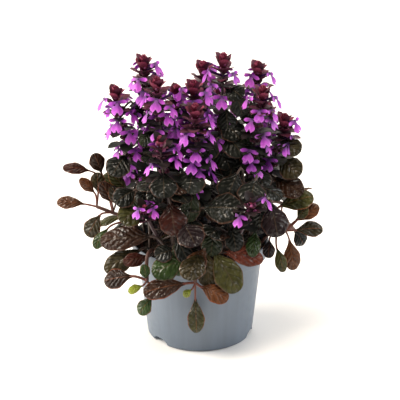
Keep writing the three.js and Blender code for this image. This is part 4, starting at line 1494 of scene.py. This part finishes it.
def stalkPaths(leaves, colour):
    paths, steps = [], stalk["steps"]
    for leaf in leaves:
        if not leaf["stalk"]:
            continue
        root, base = leaf["root"], leaf["base"]
        along = (leaf["tip"] - base).normalized()
        side = along.cross(leaf["face"]).normalized()
        lift = side.cross(along)
        bend = base - along * (base - root).length * stalk["bend"]
        thick = stalk["radius"] * leaf["stalk"]
        rows = [(bezier(root, bend, base, step / steps), thick * (1 - stalk["taper"] * step / steps))
                for step in range(steps + 1)]
        for share in stalk["midrib"]:
            arch = 4 * leaf["arch"] * share * (1 - share)
            height = arch - stalk["under"] + stalk["closer"] * share
            spot = base.lerp(leaf["tip"], share) + lift * height
            rows.append((spot, thick * (stalk["midribRadius"] - share)))
        paths.append((rows, colour))
    return paths


def stolonPaths():  # smooth through the joints, from below the soil to a blunt tip
    paths, steps, radius = [], stolon["steps"], stolon["radius"]
    for joints in stolons:
        rows = [(joints[0] - up * stolon["buried"], radius)]
        guides = [joints[0], *joints, joints[-1]]
        for before, start, end, after in zip(guides, guides[1:], guides[2:], guides[3:]):
            bend = 2 * before - 5 * start + 4 * end - after
            twist = 3 * start - before - 3 * end + after
            for step in range(steps):
                t = step / steps
                spot = 0.5 * (2 * start + (end - before) * t + bend * t * t + twist * t ** 3)
                rows.append((spot, radius))
        rows.append((joints[-1], stolon["endRadius"]))
        end = joints[-1] + (joints[-1] - joints[-2]).normalized() * stolon["tip"]
        rows.append((end, stolon["tipRadius"]))
        paths.append((rows, stolon["colour"]))
    return paths


stemSkin = skinMaterial("downyStemSkin", 0.2)
stolonSkin = skinMaterial("reddishStolonSkin", 0.1)
leafStalks = stalkPaths(blades + inner, stalk["colour"])
runnerStalks = stalkPaths(runnerBlades, stalk["runnerColour"])
growSkins("spikeStems", stemPaths(), stem, stemSkin, spikeNodes)
growSkins("leafStalks", leafStalks, stalk, stemSkin, rosetteNodes + spikeNodes)
growSkins("stolons", stolonPaths() + runnerStalks, stolon, stolonSkin, runnerNodes)


# Bracts and buds

apexRings = [  # height over the bud's foot, rise, length and width
    (1.8, 82, 7.5, 7),
    (-1, 72, 9.5, 8.4),
    (-4.5, 53, 12.5, 8.8),
    (-9, 36, 13, 9.4),
    (-13, 8, 12.5, 10.5),
]
apex = {
    "count": 3,        # bracts in a ring
    "ringTurn": 52,
    "sway": 16,
    "tilt": 8,
    "pinkRings": 3,    # rings above the dark ones
    "sink": 0.4,       # how far a bract's foot goes into the stem, as a share of its radius
}
pods = {
    "variants": 3,
    "count": 6,            # round a tip, and round each tier
    "turnStep": 60,
    "tipRadius": 1.45,
    "tipLength": 1.2,      # as a share of the radius
    "tipSway": 25,
    "tipOut": 2.6,         # places of the upper buds, and how much the lower ones differ
    "tipUp": 0.5,
    "lowerOut": 0.5,
    "lowerDown": 4.5,
    "smallest": 0.8,
    "vary": 0.4,
    "calyxRadius": 1.5,
    "calyxLength": 2.6,
    "calyxOut": 1.2,       # distance of its middle from the stem
    "calyxSway": 20,
    "calyxRise": 0.5,
    "tierTurn": 30,
    "darkest": 0.7,        # shares of its tint's brightness
    "lighten": 0.6,
    "swell": 1.0,
}


def apexBracts():
    leaves, count = [], apex["count"]
    for spike in stems:
        small = modestTips.get(spike["seed"], 1)
        for ring, (height, rise, length, width) in enumerate(apexRings):
            foot = spike["top"] + up * height * small
            for part in range(count):
                seed = spike["seed"] * 100 + ring * 10 + part
                sway = apex["sway"] * (chance(seed) - 0.5)
                turn = spike["turn"] + ring * apex["ringTurn"] + part * 360 / count + sway
                tilt = rise + apex["tilt"] * (chance(seed + 0.5) - 0.5)
                tint = "apex" if ring < apex["pinkRings"] else "apexDark"
                leaf = stemLeaf(foot, turn, length * small, width * small, tilt, tint)
                leaf["base"] -= heading(turn) * stem["radius"] * apex["sink"]
                leaves.append(leaf)
    return leaves


def podCopy(place, aim, radius, length, shapes, seed, tint):
    turn = turnTo(aim, up if abs(aim.z) < 0.9 else front)
    colour = shaded(tint, pods["darkest"] + pods["lighten"] * chance(seed + 0.2))
    return copyOf(place, turn, (radius, length, radius), shapes, seed, colour)


def podCopies(shapes):  # pink buds in the axils of a tip, and dark calyces round every whorl
    copies = []
    for spike in stems:
        for part in range(pods["count"]):
            seed, low = spike["seed"] * 60 + part, part % 2
            out = heading(spike["turn"] + part * pods["turnStep"] + pods["tipSway"] * chance(seed))
            aside, height = pods["tipOut"] + pods["lowerOut"] * low, pods["tipUp"] - pods["lowerDown"] * low
            place = spike["top"] + out * aside + up * height
            share = pods["smallest"] + pods["vary"] * chance(seed + 0.6)
            radius = pods["tipRadius"] * share * spike["small"]
            length = radius * pods["tipLength"]
            copies.append(podCopy(place, (out + up).normalized(), radius, length, shapes, seed, "pod"))
        for tier, (drop, *_) in enumerate(spike["tiers"]):
            root = stemSpot(spike["curve"], drop)
            for part in range(pods["count"]):
                seed = spike["seed"] * 70 + tier * 9 + part
                sway = pods["calyxSway"] * chance(seed)
                out = heading(part * pods["turnStep"] + tier * pods["tierTurn"] + sway)
                aim = (out + up * pods["calyxRise"]).normalized()
                place = root + aim * (stem["radius"] + pods["calyxOut"])
                radius = pods["calyxRadius"] * spike["small"]
                copies.append(podCopy(place, aim, radius, pods["calyxLength"], shapes, seed, "calyx"))
    return copies


def bractMaterial():
    # Young bract: burgundy and softly downy, darker to its foot
    material, add, place, tint, grain = startTinted("downyBurgundyBract")
    mottle = add("ShaderNodeTexNoise", {"Vector": place, "Scale": perMm(1.6), "Detail": 3.0})
    lengthShade = add("ShaderNodeMapRange", {"Value": grain["Y"], **limits(0.0, 1.0, 0.35, 1.2)})
    shade = add("ShaderNodeMath", {0: mottle, 1: 0.5, 2: lengthShade}, operation="MULTIPLY_ADD")
    body = add("ShaderNodeVectorMath", {0: tint, "Scale": shade}, operation="SCALE")
    relief = add("ShaderNodeBump", {"Height": mottle, "Strength": 0.6, "Distance": 0.4 * mm})
    return finishMaterial(material, {
        "Base Color": body,
        "Normal": relief,
        "Roughness": 0.5,
        "Specular IOR Level": 0.2,
        "Sheen Weight": 0.04,
        "Sheen Roughness": 0.4,
    })


def makeBracts(material):
    shapes = shapeCollection("bractShapes", [bractMesh(index) for index in range(bract["variants"])])
    leaves = bracts + whorlBracts() + apexBracts()
    growLeaves("spikeBracts", leaves, shapes, bract, material, spikeNodes, 500, bract["relief"])
    shapes = shapeCollection("podShapes", [podMesh(index) for index in range(pods["variants"])])
    growCopies("budsAndCalyces", podCopies(shapes), shapes, pods, material, spikeNodes)


makeBracts(bractMaterial())


# Florets

def petalMaterial():
    # Thin petal tissue: orchid, light passing through a little, paler to its rim, and dark in the throat,
    # partly its own deeper colour and partly painted shade in the throat and tube
    material, add, place, tint, grain = startTinted("orchidPetalTissue")
    # dark at the throat and tube: partly painted shade there
    ramp = add("ShaderNodeValToRGB", {"Fac": grain["Y"]})
    setRamp(ramp, petal["colours"])
    streaks = add("ShaderNodeTexNoise", {"Vector": place, "Scale": perMm(0.9), "Detail": 2.0})
    shade = add("ShaderNodeMapRange", {"Value": streaks, **limits(0.3, 0.7, 0.86, 1.1)})
    varied = add("ShaderNodeMix", {"Factor": 1.0, 6: ramp, 7: tint}, data_type="RGBA", blend_type="MULTIPLY")
    body = add("ShaderNodeVectorMath", {0: varied, "Scale": shade}, operation="SCALE")
    relief = add("ShaderNodeBump", {"Height": streaks, "Strength": 0.25, "Distance": 0.2 * mm})
    return finishMaterial(material, {
        "Base Color": body,
        "Normal": relief,
        "Roughness": 0.55,
        "Subsurface Weight": 0.12,
        "Subsurface Scale": 1.5 * mm,
        "Subsurface Radius": (1.0, 0.5, 1.0),
    })


def makeFlorets(material):
    shapes = shapeCollection("floretShapes", [floretMesh(index) for index in range(petal["variants"])])
    copies = []
    for index, spot in enumerate(florets):
        # petals open a little higher than the solid's plain lip
        place = spot["throat"] + up * floret["lift"] * spot["size"]
        turn = Matrix(spot["axes"]).transposed().to_quaternion()
        shade = petal["darkest"] + petal["lighten"] * chance(900 + index)
        red = petal["red"] - petal["violet"] * chance(800 + index)
        colour = (shade * red, shade * petal["green"], shade)
        copies.append(copyOf(place, turn, (spot["size"],) * 3, shapes, 700 + index, colour))
    growCopies("florets", copies, shapes, petal, material, spikeNodes)


makeFlorets(petalMaterial())
